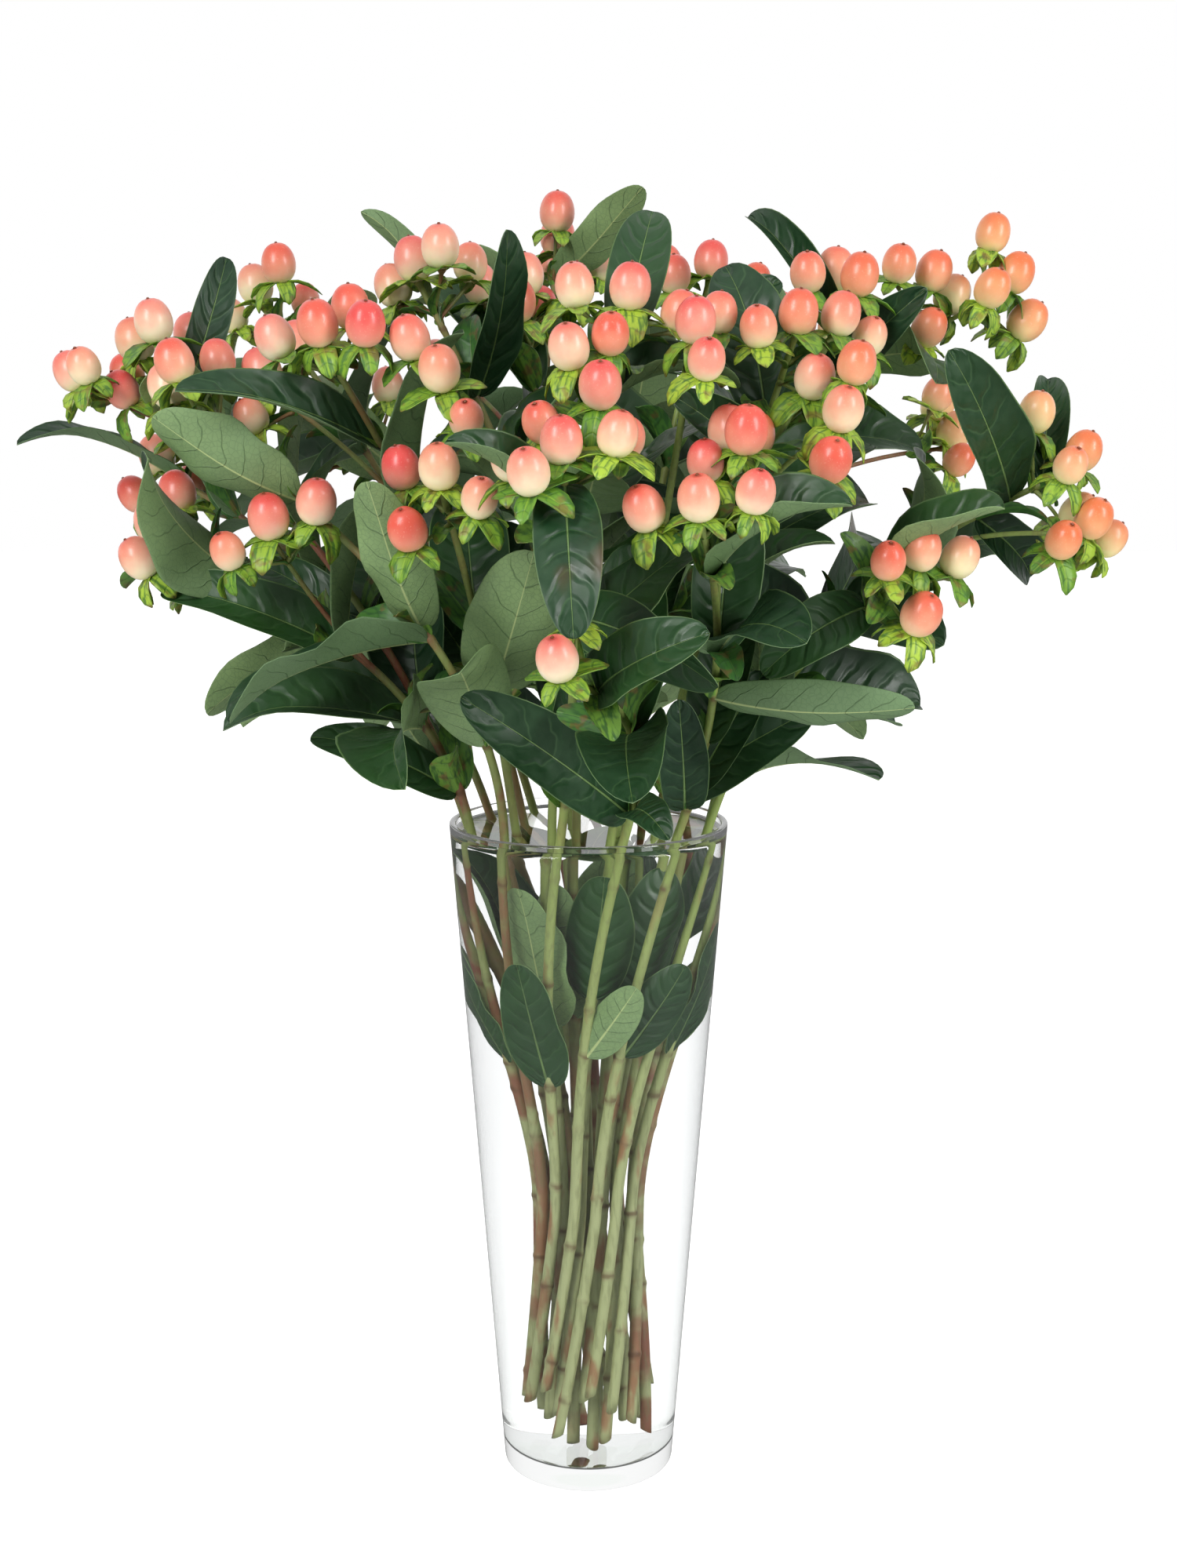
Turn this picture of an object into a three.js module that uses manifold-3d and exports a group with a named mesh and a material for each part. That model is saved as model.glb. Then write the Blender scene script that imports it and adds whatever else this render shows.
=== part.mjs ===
// A bunch of hypericum (St John's wort) stems in berry, standing in a tapered glass vase of water.
// Units are millimetres, +Z is up, and the origin is the centre of the vase's flat underside.
//
// The bunch is twisted as flower arrangers twist it: the stems cross at a waist low in the vase, spread to
// its mouth and fan out above it. Each stem is one solid: a stalk, opposite pairs of stalkless leaves, and
// flat-topped clusters in which every berry sits on a star of five sepals.
import * as THREE from "three";
import { mergeVertices } from "three/addons/utils/BufferGeometryUtils.js";
import Module from "manifold-3d";

const wasm = await Module();
wasm.setup();

// ---- Driving dimensions ----

const VASE = { height: 280, footRadius: 36, mouthRadius: 57.5, wall: 2.6, floor: 9, sides: 32 };
const WATER_LEVEL = 275;
const CLEAR = 0.35; // left between two solids that would touch
const UNDERFOOT = 0.45; // left below the slanting feet of the stalks that stand on the vase's floor

const BUNDLE = { lip: 284, waist: 115, foot: 15, upperPinch: 51, lowerPinch: 120 };
const TWIST = { above: 35, below: 45 }; // degrees turned from the waist to the lip, and to the foot
const RINGS = [
  { radius: 3.6, stems: 3 },
  { radius: 9.3, stems: 8 },
  { radius: 15.2, stems: 13 },
];
const STALK = { foot: 2.5, lip: 2.3, head: 1.5, sides: 4 };
const TWIG = { root: 1.4, head: 1.15, sides: 4 };
const PEDICEL = { radius: 0.95, sides: 3 };

const BERRY = { width: 15, length: 17 };
const SEPALS = 5;
const SEPAL = { reach: 8.6, notch: 3.4, droop: 3.2 };
const BLADE = 0.8; // thickness of a leaf

// In a cluster, pairs of berries stand off the shoot. The first pair's pedicels leave it at fork below its
// head and carry the berries out and a little down from it. Each further pair goes by the steps.
const CLUSTER = { fork: 11, forkStep: 6, out: 17.5, outStep: 3, down: 3, downStep: 8 };

// A berry points partly the way its shoot does, partly out from it and mostly straight up.
const STANCE = { along: 0.45, out: 0.28, up: 0.75 };

// The stems: where the top berry of each stands, how many berries its cluster has, which way round the
// cluster is turned (roll, degrees), and its side shoot, if any, which leaves the stalk at u, from 0 at
// the vase's lip to 1 at the head.
const STEMS = [
  { name: "A", head: [-178, 0, 466], berries: 5, roll: 40,
    shoot: { head: [-200, -12, 455], berries: 3, roll: 10, u: 0.72 } },
  { name: "B", head: [-168, -20, 395], berries: 4, roll: 140,
    shoot: { head: [-119, -60, 399], berries: 3, roll: 100, u: 0.5 } },
  { name: "C", head: [-158, -38, 448], berries: 4, roll: 40 },
  { name: "D", head: [-98, -68, 470], berries: 4, roll: 10,
    shoot: { head: [-124, -22, 454], berries: 3, roll: 90, u: 0.6 } },
  { name: "E", head: [-142, 80, 492], berries: 4, roll: 70 },
  { name: "F", head: [-66, -22, 496], berries: 4, roll: 30,
    shoot: { head: [-53, -78, 454], berries: 3, roll: 160, u: 0.6 } },
  { name: "G", head: [-53, -95, 419], berries: 4, roll: 150 },
  { name: "H", head: [-25, 10, 492], berries: 5, roll: 80 },
  { name: "I", head: [14, -92, 482], berries: 4, roll: 150,
    shoot: { head: [4, -120, 448], berries: 4, roll: 110, u: 0.68 } },
  { name: "J", head: [-9, -138, 429], berries: 4, roll: 10 },
  { name: "K", head: [-9, -150, 357], berries: 2, roll: 80 },
  { name: "L", head: [38, -138, 410], berries: 4, roll: 0,
    shoot: { head: [49, -108, 432], berries: 3, roll: 70, u: 0.66 } },
  { name: "M", head: [37, -105, 470], berries: 3, roll: 90 },
  { name: "N", head: [75, -80, 474], berries: 4, roll: 170,
    shoot: { head: [88, -104, 440], berries: 3, roll: 70, u: 0.6 } },
  { name: "O", head: [100, -50, 489], berries: 5, roll: 150 },
  { name: "P", head: [133, -8, 493], berries: 4, roll: 150,
    shoot: { head: [166, 0, 493], berries: 4, roll: 100, u: 0.7 } },
  { name: "Q", head: [190, -25, 424], berries: 5, roll: 10,
    shoot: { head: [191, -38, 399], berries: 3, roll: 20, u: 0.7 } },
  { name: "R", head: [121, -78, 389], berries: 4, roll: 170 },
  { name: "S", head: [49, 22, 499], berries: 4, roll: 30 },
  { name: "T", head: [-14, 105, 514], berries: 4, roll: 90,
    shoot: { head: [-68, 140, 464], berries: 4, roll: 40, u: 0.55 } },
  { name: "U", head: [-112, 130, 440], berries: 5, roll: 30 },
  { name: "V", head: [18, 165, 455], berries: 5, roll: 120 },
  { name: "W", head: [95, 125, 478], berries: 4, roll: 0,
    shoot: { head: [160, 105, 430], berries: 4, roll: 30, u: 0.55 } },
  { name: "Y", head: [-182, 60, 420], berries: 4, roll: 110 },
];

// The leaves that show most, each by its stem, the height at which it leaves the stalk, its tip, its width
// and the way its upper face looks. fold is how far the halves close upwards along the midrib, bend is how
// far the midrib bows towards the upper face, and twist is the turn from base to tip, all but bend in
// degrees.
const LEAVES = [
  { on: "Y", z: 415, tip: [-228, 5, 440], width: 20, up: [0, -0.25, 1], fold: 25, bend: 6, twist: 0 },
  { on: "C", z: 414, tip: [-161, -66, 446], width: 31, up: [0.2, 1, 0.6], fold: 12, bend: -5, twist: 0 },
  { on: "D", z: 433, tip: [-146, -88, 457], width: 24, up: [0, -0.8, 0.6], fold: 28, bend: 6, twist: 20 },
  { on: "A", z: 450, tip: [-146, 18, 508], width: 17, up: [0.3, -1, 0], fold: 20, bend: 5, twist: 0 },
  { on: "F", z: 478, tip: [-88, 12, 527], width: 15, up: [1, -0.3, 0], fold: 25, bend: 4, twist: 60 },
  { on: "F", z: 452, tip: [-29, -66, 511], width: 22, up: [0.5, -1, 0.2], fold: 15, bend: 5, twist: 20 },
  { on: "T", z: 503, tip: [23, 64, 542], width: 20, up: [-0.2, 0.9, 0.3], fold: 10, bend: -5, twist: 0 },
  { on: "I", z: 472, tip: [24, -48, 521], width: 22, up: [0, -1, 0.3], fold: 10, bend: 4, twist: 0 },
  { on: "O", z: 478, tip: [62, -14, 524], width: 18, up: [0, -1, 0.5], fold: 45, bend: 5, twist: 0 },
  { on: "S", z: 462, tip: [76, 10, 499], width: 22, up: [0, -1, 0.5], fold: 20, bend: 5, twist: 0 },
  { on: "P", z: 448, tip: [119, -60, 488], width: 24, up: [0, -1, 0.2], fold: 28, bend: 6, twist: 0 },
  { on: "Q", z: 412, tip: [133, -72, 468], width: 27, up: [0, -1, 0.3], fold: 12, bend: 5, twist: 0 },
  { on: "Q", z: 418, tip: [186, 12, 460], width: 20, up: [0, -1, 0.6], fold: 40, bend: 4, twist: 0 },
  { on: "R", z: 378, tip: [150, -96, 412], width: 30, up: [0, -0.5, 1], fold: 40, bend: 7, twist: 0 },
  { on: "R", z: 374, tip: [66, -76, 352], width: 24, up: [0, -1, 0.5], fold: 18, bend: 8, twist: 0 },
  { on: "Q", z: 364, tip: [134, -44, 362], width: 34, up: [0, -1, 0.5], fold: 15, bend: 6, twist: 0 },
  { on: "L", z: 339, tip: [121, -85, 339], width: 22, up: [0, 0.9, 0.5], fold: 22, bend: -6, twist: 0 },
  { on: "N", z: 293, tip: [88, -46, 333], width: 26, up: [0.2, -1, 0.5], fold: 15, bend: 6, twist: 0 },
  { on: "L", z: 300, tip: [65, -40, 340], width: 20, up: [0, -1, 0.5], fold: 20, bend: 4, twist: 0 },
  { on: "J", z: 373, tip: [44, -134, 354], width: 27, up: [0.2, -1, 0.3], fold: 22, bend: 10, twist: 70 },
  { on: "J", z: 422, tip: [-5, -168, 374], width: 24, up: [0, -1, 0.1], fold: 12, bend: 8, twist: 0 },
  { on: "J", z: 397, tip: [-46, -142, 438], width: 24, up: [0.3, -0.5, 0.8], fold: 48, bend: 6, twist: 0 },
  { on: "G", z: 337, tip: [-20, -80, 396], width: 38, up: [0, 1, 0.2], fold: 14, bend: -8, twist: 0 },
  { on: "C", z: 364, tip: [-79, -95, 424], width: 26, up: [0.2, 1, 0.2], fold: 15, bend: -6, twist: 0 },
  { on: "Y", z: 354, tip: [-161, 22, 323], width: 27, up: [0, 0.8, 0.6], fold: 15, bend: 8, twist: 0 },
  { on: "B", z: 352, tip: [-166, -35, 380], width: 24, up: [0, -0.8, 0.6], fold: 20, bend: 7, twist: 0 },
  { on: "A", z: 352, tip: [-136, 16, 386], width: 21, up: [0, -1, 0.5], fold: 22, bend: 6, twist: 0 },
  { on: "B", z: 296, tip: [-108, -34, 322], width: 21, up: [0, -0.8, 0.6], fold: 16, bend: 6, twist: 0 },
  { on: "K", z: 293, tip: [-46, -98, 344], width: 28, up: [0, -1, 0.4], fold: 15, bend: 6, twist: 0 },
  { on: "K", z: 293, tip: [29, -84, 291], width: 18, up: [0, -0.8, 0.6], fold: 20, bend: 6, twist: 0 },
  { on: "A", z: 297, tip: [-88, 26, 342], width: 21, up: [0, 0.8, 0.6], fold: 15, bend: -5, twist: 0 },
  { on: "H", z: 294, tip: [-42, -14, 336], width: 20, up: [0, -1, 0.4], fold: 15, bend: 5, twist: 0 },
  { on: "J", z: 296, tip: [12, -66, 346], width: 22, up: [0, -1, 0.2], fold: 20, bend: 5, twist: 0 },
  { on: "L", z: 292, tip: [34, -70, 340], width: 20, up: [0, -1, 0.4], fold: 15, bend: 5, twist: 0 },
  { on: "B", z: 391, tip: [-181, 10, 390], width: 15, up: [0, 0.8, 0.4], fold: 40, bend: 9, twist: 40 },
  { on: "N", z: 425, tip: [18, -96, 454], width: 20, up: [0, -1, 0.3], fold: 20, bend: 6, twist: 0 },
  { on: "Q", z: 405, tip: [180, 2, 380], width: 20, up: [0, -1, 0.4], fold: 20, bend: 6, twist: 0 },
];

// The other leaves follow the plant's rule: pairs up the stalk, each square to the pair below. The pair
// nearest the berries has lost one leaf.
const PAIRS = { belowHead: [36, 82, 128, 174], first: 64, grow: 6, ratio: 0.5 };

// Leaves left on below the water line rise flat to the glass. Those of the two inner rings of stalks start
// higher than those of the outer ring.
const DROWNED = { inner: 206, outer: 182, length: 60, ratio: 0.45 };

// ---- Small tools ----

const DEGREE = Math.PI / 180;
const vec = (x, y, z) => new THREE.Vector3(x, y, z);
const mix = (a, b, u) => a + (b - a) * u;
const UP = vec(0, 0, 1);

// A seeded draw of numbers between two bounds, so that the bunch is the same every time.
function lottery(seed) {
  let state = Math.imul(seed + 1, 2654435761) >>> 0;
  const draw = (low, high) => {
    state = (Math.imul(1664525, state) + 1013904223) >>> 0;
    return mix(low, high, state / 4294967296);
  };
  draw(0, 1);
  draw(0, 1);
  return draw;
}

// The part of a vector that is square to a direction, at unit length.
function squareTo(vector, along) {
  return vector.clone().addScaledVector(along, -vector.dot(along)).normalize();
}

// A point and the direction at u, from 0 to 1, of the parabola from a to b whose ends aim at c.
function arc(a, c, b, u) {
  const at = a.clone().multiplyScalar((1 - u) * (1 - u));
  at.addScaledVector(c, 2 * u * (1 - u)).addScaledVector(b, u * u);
  const along = c.clone().sub(a).multiplyScalar(1 - u);
  along.addScaledVector(b.clone().sub(c), u).normalize();
  return { at, along };
}

// ---- The stalks' courses ----

const azimuth = (stem) => Math.atan2(stem.head[1], stem.head[0]) / DEGREE;
const reach = (stem) => Math.hypot(stem.head[0], stem.head[1]);

// Shares the stems among the rings, the most upright ones in the core, and spaces each ring evenly.
function placeInRings(stems) {
  const byReach = [...stems].sort((a, b) => reach(a) - reach(b));
  for (const ring of RINGS) {
    const members = byReach.splice(0, ring.stems).sort((a, b) => azimuth(a) - azimuth(b));
    const step = 360 / members.length;
    let offset = 0;
    members.forEach((stem, i) => {
      offset += (azimuth(stem) - step * i) / members.length;
    });
    members.forEach((stem, i) => {
      stem.ring = ring.radius;
      stem.slot = offset + step * i;
    });
  }
}

// A stem's place in the bundle at height z. Each ring is a hyperboloid of straight, crossing stalks.
function inBundle(stem, z) {
  const upper = z > BUNDLE.waist;
  const span = upper ? BUNDLE.lip - BUNDLE.waist : BUNDLE.waist - BUNDLE.foot;
  const pinch = upper ? BUNDLE.upperPinch : BUNDLE.lowerPinch;
  const turned = (upper ? TWIST.above : TWIST.below) * (z - BUNDLE.waist) / span;
  const radius = stem.ring * Math.hypot(1, (z - BUNDLE.waist) / pinch);
  const angle = (stem.slot - TWIST.above + turned) * DEGREE;
  return vec(radius * Math.cos(angle), radius * Math.sin(angle), z);
}

// The stalk at t: foot to lip for 0 to 1 through the bundle, lip to head for 1 to 2 on a parabola.
function onStalk(stem, t) {
  if (t > 1) return arc(stem.lip, stem.aim, stem.top, t - 1);
  const z = mix(stem.foot, BUNDLE.lip, t);
  const along = inBundle(stem, z + 0.5).sub(inBundle(stem, z - 0.5)).normalize();
  return { at: inBundle(stem, z), along };
}

// The core stems stand on the vase's floor. The others are wedged among them, cut at uneven lengths.
function makeStems() {
  const stems = STEMS.map((row, index) => ({ ...row, index }));
  placeInRings(stems);
  for (const stem of stems) {
    const isCore = stem.ring === RINGS[0].radius;
    stem.foot = isCore ? VASE.floor + UNDERFOOT : 12 + (stem.index * 7) % 24 * 1.1;
    stem.lip = inBundle(stem, BUNDLE.lip);
    stem.top = vec(...stem.head);
    const leaving = stem.lip.clone().sub(inBundle(stem, BUNDLE.lip - 1)).normalize();
    stem.aim = stem.lip.clone().addScaledVector(leaving, 0.45 * stem.lip.distanceTo(stem.top));
    const lean = Math.atan2(stem.top.y - stem.lip.y, stem.top.x - stem.lip.x);
    stem.side = vec(-Math.sin(lean), Math.cos(lean), 0);
  }
  return stems;
}

// The stalk's u above the lip at height z.
function courseAtHeight(stem, z) {
  let low = 0;
  let high = 1;
  for (let i = 0; i < 30; i++) {
    const middle = (low + high) / 2;
    if (onStalk(stem, 1 + middle).at.z < z) low = middle;
    else high = middle;
  }
  return low;
}

// The u, on the course of a stalk or shoot, that lies a given length below its head.
function courseBelowHead(course, length) {
  const steps = 60;
  let done = 0;
  let last = course(1).at;
  for (let i = steps - 1; i > 0; i--) {
    const next = course(i / steps).at;
    done += next.distanceTo(last);
    last = next;
    if (done > length) return i / steps;
  }
  return 0;
}

// ---- Closed meshes ----

// Closes a surface through a row of rings, each a list of points that turn the same way round the row.
// Neighbouring rings may differ in count, and a ring of one point is a pole.
function loft(rings) {
  const faces = [];
  let first = 0;
  const cap = (start, count, flip) => {
    for (let i = 1; i + 1 < count; i++)
      faces.push(flip ? [start, start + i + 1, start + i] : [start, start + i, start + i + 1]);
  };
  cap(0, rings[0].length, true);
  for (let k = 0; k + 1 < rings.length; k++) {
    const n = rings[k].length;
    const m = rings[k + 1].length;
    const second = first + n;
    const lowerSteps = n > 1 ? n : 0;
    const upperSteps = m > 1 ? m : 0;
    let i = 0;
    let j = 0;
    while (i < lowerSteps || j < upperSteps) {
      if (j >= upperSteps || (i < lowerSteps && (i + 1) * m <= (j + 1) * n)) {
        faces.push([first + i, first + (i + 1) % n, second + j % m]);
        i++;
      } else {
        faces.push([first + i % n, second + (j + 1) % m, second + j]);
        j++;
      }
    }
    first = second;
  }
  cap(first, rings.at(-1).length, false);
  return { points: rings.flat(), faces };
}

// A ring of points round a place. offset turns it by that share of a step.
function ringOfPoints({ at, along }, side, radius, count, offset = 0) {
  const e1 = squareTo(side, along);
  const e2 = along.clone().cross(e1);
  return Array.from({ length: count }, (_, i) => {
    const angle = 2 * Math.PI * (i + offset) / count;
    const across = radius * Math.cos(angle);
    const over = radius * Math.sin(angle);
    return at.clone().addScaledVector(e1, across).addScaledVector(e2, over);
  });
}

// A tube along a course: its rings at some stations of the course's parameter.
function makeTube(course, stations, radiusAt, side, count) {
  const places = stations.map(course);
  const rings = places.map((place, i) => ringOfPoints(place, side, radiusAt(stations[i]), count));
  return { course, stations, places, rings };
}

const SUNK = 0.45; // how deep a root goes, as a share of the way from the tube's face to its middle

// The root of a blade or pedicel that leaves a tube at t in a direction, in the face turned that way.
function rootOn(tube, t, direction) {
  const last = tube.stations.length - 2;
  const k = Math.min(last, Math.max(0, tube.stations.findLastIndex((station) => station <= t)));
  const share = (t - tube.stations[k]) / (tube.stations[k + 1] - tube.stations[k]);
  const middle = tube.places[k].at.clone().lerp(tube.places[k + 1].at, share);
  const sides = tube.rings[k].length;
  const faces = tube.rings[k].map((_, j) => {
    const [low, high] = [k, k + 1].map((r) => {
      const ring = tube.rings[r];
      return ring[j].clone().lerp(ring[(j + 1) % sides], 0.5);
    });
    return low.lerp(high, share);
  });
  const outward = (point) => point.clone().sub(middle).dot(direction);
  const face = faces.reduce((best, point) => (outward(point) > outward(best) ? point : best));
  return face.lerp(middle, SUNK);
}

function toSolid({ points, faces }) {
  const mesh = new wasm.Mesh({
    numProp: 3,
    vertProperties: new Float32Array(points.flatMap((p) => [p.x, p.y, p.z])),
    triVerts: new Uint32Array(faces.flat()),
  });
  return new wasm.Manifold(mesh);
}

// The one body of a joined solid: loose scraps are dropped and sealed hollows filled.
function oneBody(solid) {
  return solid.decompose().reduce((best, body) => (body.volume() > best.volume() ? body : best));
}

const joined = (meshes) => oneBody(wasm.Manifold.union(meshes.map(toSolid)));

// ---- What stands where: spheres that keep the solids apart ----

const taken = [];
const BLADE_GAP = 1.4;

// Each sphere has a radius and, where it stands for part of a blade or of what carries blades and berries,
// says so.
function take(spheres, owner) {
  for (const sphere of spheres) taken.push({ ...sphere, owner });
}

// Whether a sphere would touch the glass, from just outside it to just inside it.
function touchesGlass(at, radius) {
  if (at.z > VASE.height + radius) return false;
  const outer = mix(VASE.footRadius, VASE.mouthRadius, at.z / VASE.height);
  const away = Math.hypot(at.x, at.y);
  return away < outer + radius && away > outer - VASE.wall - radius;
}

// Whether spheres stand clear of the glass and of all that is taken. On one stem, stalks, twigs, sepals and
// the roots of blades may touch. Two blades, both known only at their spheres, keep a wider gap.
function isClear(spheres, owner) {
  return spheres.every(({ at, radius, root, blade }) => {
    if (touchesGlass(at, radius)) return false;
    return taken.every((other) => {
      if ((root || other.root) && other.owner === owner) return true;
      const apart = radius + other.radius + (blade && other.blade ? BLADE_GAP : 0);
      return other.at.distanceToSquared(at) >= apart * apart;
    });
  });
}

// ---- Berries ----

// The rings of a berry on its calyx: the star of sepals, then the berry's own rings up to its tip.
function berryRings(berry) {
  const { base, axis, side, size } = berry;
  const place = (height) => ({ at: base.clone().addScaledVector(axis, height * size), along: axis });
  const star = ringOfPoints(place(0), side, 1, 2 * SEPALS).map((p, i) => {
    const isTip = i % 2 === 1;
    const out = p.sub(base).multiplyScalar(size * (isTip ? SEPAL.reach : SEPAL.notch));
    return base.clone().add(out).addScaledVector(axis, isTip ? -SEPAL.droop * size : 0.4);
  });
  const half = BERRY.width / 2 * size;
  return [
    star,
    ringOfPoints(place(BERRY.length * 0.24), side, half * 0.98, SEPALS),
    ringOfPoints(place(BERRY.length * 0.7), side, half, SEPALS, 0.5),
    [place(BERRY.length).at],
  ];
}

// The spheres that stand for a berry: its body, its sepals' tips and its pedicel.
function berrySpheres(berry) {
  const { base, axis, side, size } = berry;
  const body = (height, radius) => ({
    at: base.clone().addScaledVector(axis, BERRY.length * height * size),
    radius: BERRY.width * radius * size,
  });
  const spheres = [body(0.36, 0.53), body(0.66, 0.46)];
  const calyx = { at: base.clone().addScaledVector(axis, -SEPAL.droop * size), along: axis };
  for (const at of ringOfPoints(calyx, side, SEPAL.reach * size - 1, SEPALS, 0.5))
    spheres.push({ at, radius: 1.5, root: true });
  for (const u of [0.3, 0.6, 0.9]) spheres.push({ at: berry.pedicel(u).at, radius: 1.6, root: true });
  return spheres;
}

// The berries of one cluster, at the end of a tube whose open stretch starts at t. The tube's end carries
// one, and pairs of stalked berries stand out below it, each pair square to the pair above.
function cluster(stem, { tube, start, row, seed }) {
  const draw = lottery(seed);
  const course = (u) => tube.course(start + u);
  const { at: head, along } = course(1);
  const e1 = squareTo(stem.side, along);
  const e2 = along.clone().cross(e1);
  const berries = [];
  const settle = (berry) => {
    const spheres = berrySpheres(berry);
    if (!isClear(spheres, stem.index)) return false;
    take(spheres, stem.index);
    berries.push(berry);
    return true;
  };
  for (let i = 0; i + 1 < row.berries; i++) {
    const pair = Math.floor(i / 2);
    const size = draw(0.88, 1.06);
    const wander = draw(-8, 8);
    const lift = draw(-2, 2);
    const fork = courseBelowHead(course, CLUSTER.fork + CLUSTER.forkStep * pair);
    const tries = [];
    for (const stretch of [1, 1.2, 0.92, 1.4])
      for (const swing of [0, 14, -14, 28, -28, 42, -42])
        for (const drop of [0, 5, -4]) tries.push({ stretch, swing, drop });
    tries.some(({ stretch, swing, drop }) => {
      const angle = (row.roll + 90 * pair + 180 * (i % 2) + wander + swing) * DEGREE;
      const out = e1.clone().multiplyScalar(Math.cos(angle)).addScaledVector(e2, Math.sin(angle));
      const down = CLUSTER.down + CLUSTER.downStep * pair + drop - lift;
      const away = (CLUSTER.out + CLUSTER.outStep * pair) * stretch;
      const base = head.clone().addScaledVector(along, -down).addScaledVector(out, away);
      const root = rootOn(tube, start + fork, out);
      const aim = root.clone().addScaledVector(along, 4).addScaledVector(out, 8 + 2 * pair);
      const axis = along.clone().multiplyScalar(STANCE.along).addScaledVector(out, STANCE.out);
      axis.addScaledVector(UP, STANCE.up).normalize();
      const pedicel = (u) => arc(root, aim, base, u);
      return settle({ base, axis, side: e1, size, pedicel });
    });
  }
  return berries;
}

// The berry that the end of a tube carries.
function topBerry(stem, tube, seed) {
  const { at, along } = tube.course(tube.stations.at(-1));
  const axis = along.clone().multiplyScalar(STANCE.along).addScaledVector(UP, STANCE.up).normalize();
  const size = lottery(seed)(0.96, 1.08);
  return { base: at.clone(), axis, side: squareTo(stem.side, along), size, pedicel: tube.course };
}

// ---- Leaves ----

// How wide the blade is along its length, as a share of its full width: broad, with a blunt tip.
const outline = (v) => 1.8 * Math.pow(v, 0.4) * Math.pow(1 - v, 0.45);

// The blade's upper face at v along the midrib and c across it, from -1 to 1, and the way it faces.
function onBlade(leaf, v, c, margin = 0) {
  const { base, tip, normal, width, bend, fold, twist } = leaf;
  const chord = tip.clone().sub(base);
  const axis = chord.clone().normalize();
  const flat = squareTo(normal, axis);
  const bow = 4 * v * (1 - v) * bend;
  const along = chord.addScaledVector(flat, 4 * (1 - 2 * v) * bend).normalize();
  const facing = squareTo(flat, along).applyAxisAngle(along, twist * v * DEGREE);
  const side = along.clone().cross(facing);
  const half = (width / 2 + margin) * outline(v) * c;
  const at = base.clone().lerp(tip, v).addScaledVector(flat, bow);
  at.addScaledVector(side, half * Math.cos(fold * DEGREE));
  at.addScaledVector(facing, Math.abs(half) * Math.sin(fold * DEGREE));
  return { at, facing };
}

const STATIONS = [0, 0.2, 0.82, 1]; // along the midrib of a blade
const FULLER = 1.07; // a blade's few corners stand out past its true outline, so that its area is right

// The blade as a closed sheet that ends in a point: two alike faces and a rim. grow thickens and widens it.
function bladeMesh(leaf, grow = 0) {
  const thickness = (BLADE / 2 + grow) / Math.cos(leaf.fold * DEGREE);
  const margin = leaf.width / 2 * (FULLER - 1) + grow * 2;
  const places = STATIONS.slice(0, -1).flatMap((v) => {
    const across = v === 0 ? [0] : [-1, 0, 1];
    return across.map((c) => onBlade(leaf, v, c, margin));
  });
  const upper = places.map(({ at, facing }) => at.clone().addScaledVector(facing, thickness));
  const lower = places.map(({ at, facing }) => at.clone().addScaledVector(facing, -thickness));
  const tip = 2 * upper.length;
  const under = (i) => (i === tip ? tip : i + upper.length);
  const last = upper.length - 3;
  const sheet = [[0, 2, 1], [0, 3, 2], [last, last + 1, tip], [last + 1, last + 2, tip]];
  for (let a = 1; a < last; a += 3)
    sheet.push([a, a + 1, a + 4], [a, a + 4, a + 3], [a + 1, a + 2, a + 5], [a + 1, a + 5, a + 4]);
  const right = STATIONS.slice(1, -1).map((_, i) => 3 + 3 * i);
  const left = right.map((i) => i - 2).reverse();
  const rim = [0, ...right, tip, ...left];
  const faces = [...sheet];
  for (const [a, b, c] of sheet) faces.push([under(a), under(c), under(b)]);
  rim.forEach((p, i) => {
    const q = rim[(i + 1) % rim.length];
    if (p !== tip) faces.push([q, p, under(p)]);
    if (q !== tip) faces.push([q, under(p), under(q)]);
  });
  return { points: [...upper, ...lower, onBlade(leaf, 1, 0).at], faces };
}

const ROOT_SHARE = 0.24; // the share of a blade that may touch its own stem

// The spheres that stand for a blade: rows of them about 5.5 mm apart.
function bladeSpheres(leaf) {
  const rows = Math.ceil(leaf.base.distanceTo(leaf.tip) / 5.5);
  const columns = Math.ceil(leaf.width / 11);
  const spheres = [];
  for (let i = 1; i <= rows; i++) {
    const v = i / rows;
    for (let k = -columns; k <= columns; k++) {
      const { at } = onBlade(leaf, v, k / columns);
      spheres.push({ at, radius: 1.7, root: v < ROOT_SHARE, blade: true });
    }
  }
  return spheres;
}

// Takes the first of some ways to hold a leaf in which it stands clear, or drops the leaf.
function settleLeaf(stem, ways) {
  for (const leaf of ways) {
    const spheres = bladeSpheres(leaf);
    if (!leaf.allowed(spheres) || !isClear(spheres, stem.index)) continue;
    take(spheres, stem.index);
    return leaf;
  }
  return null;
}

const outside = ({ at }) => at.z > VASE.height + 2 || Math.hypot(at.x, at.y) > VASE.mouthRadius;
const staysDry = (spheres) => spheres.every(outside);

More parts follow.
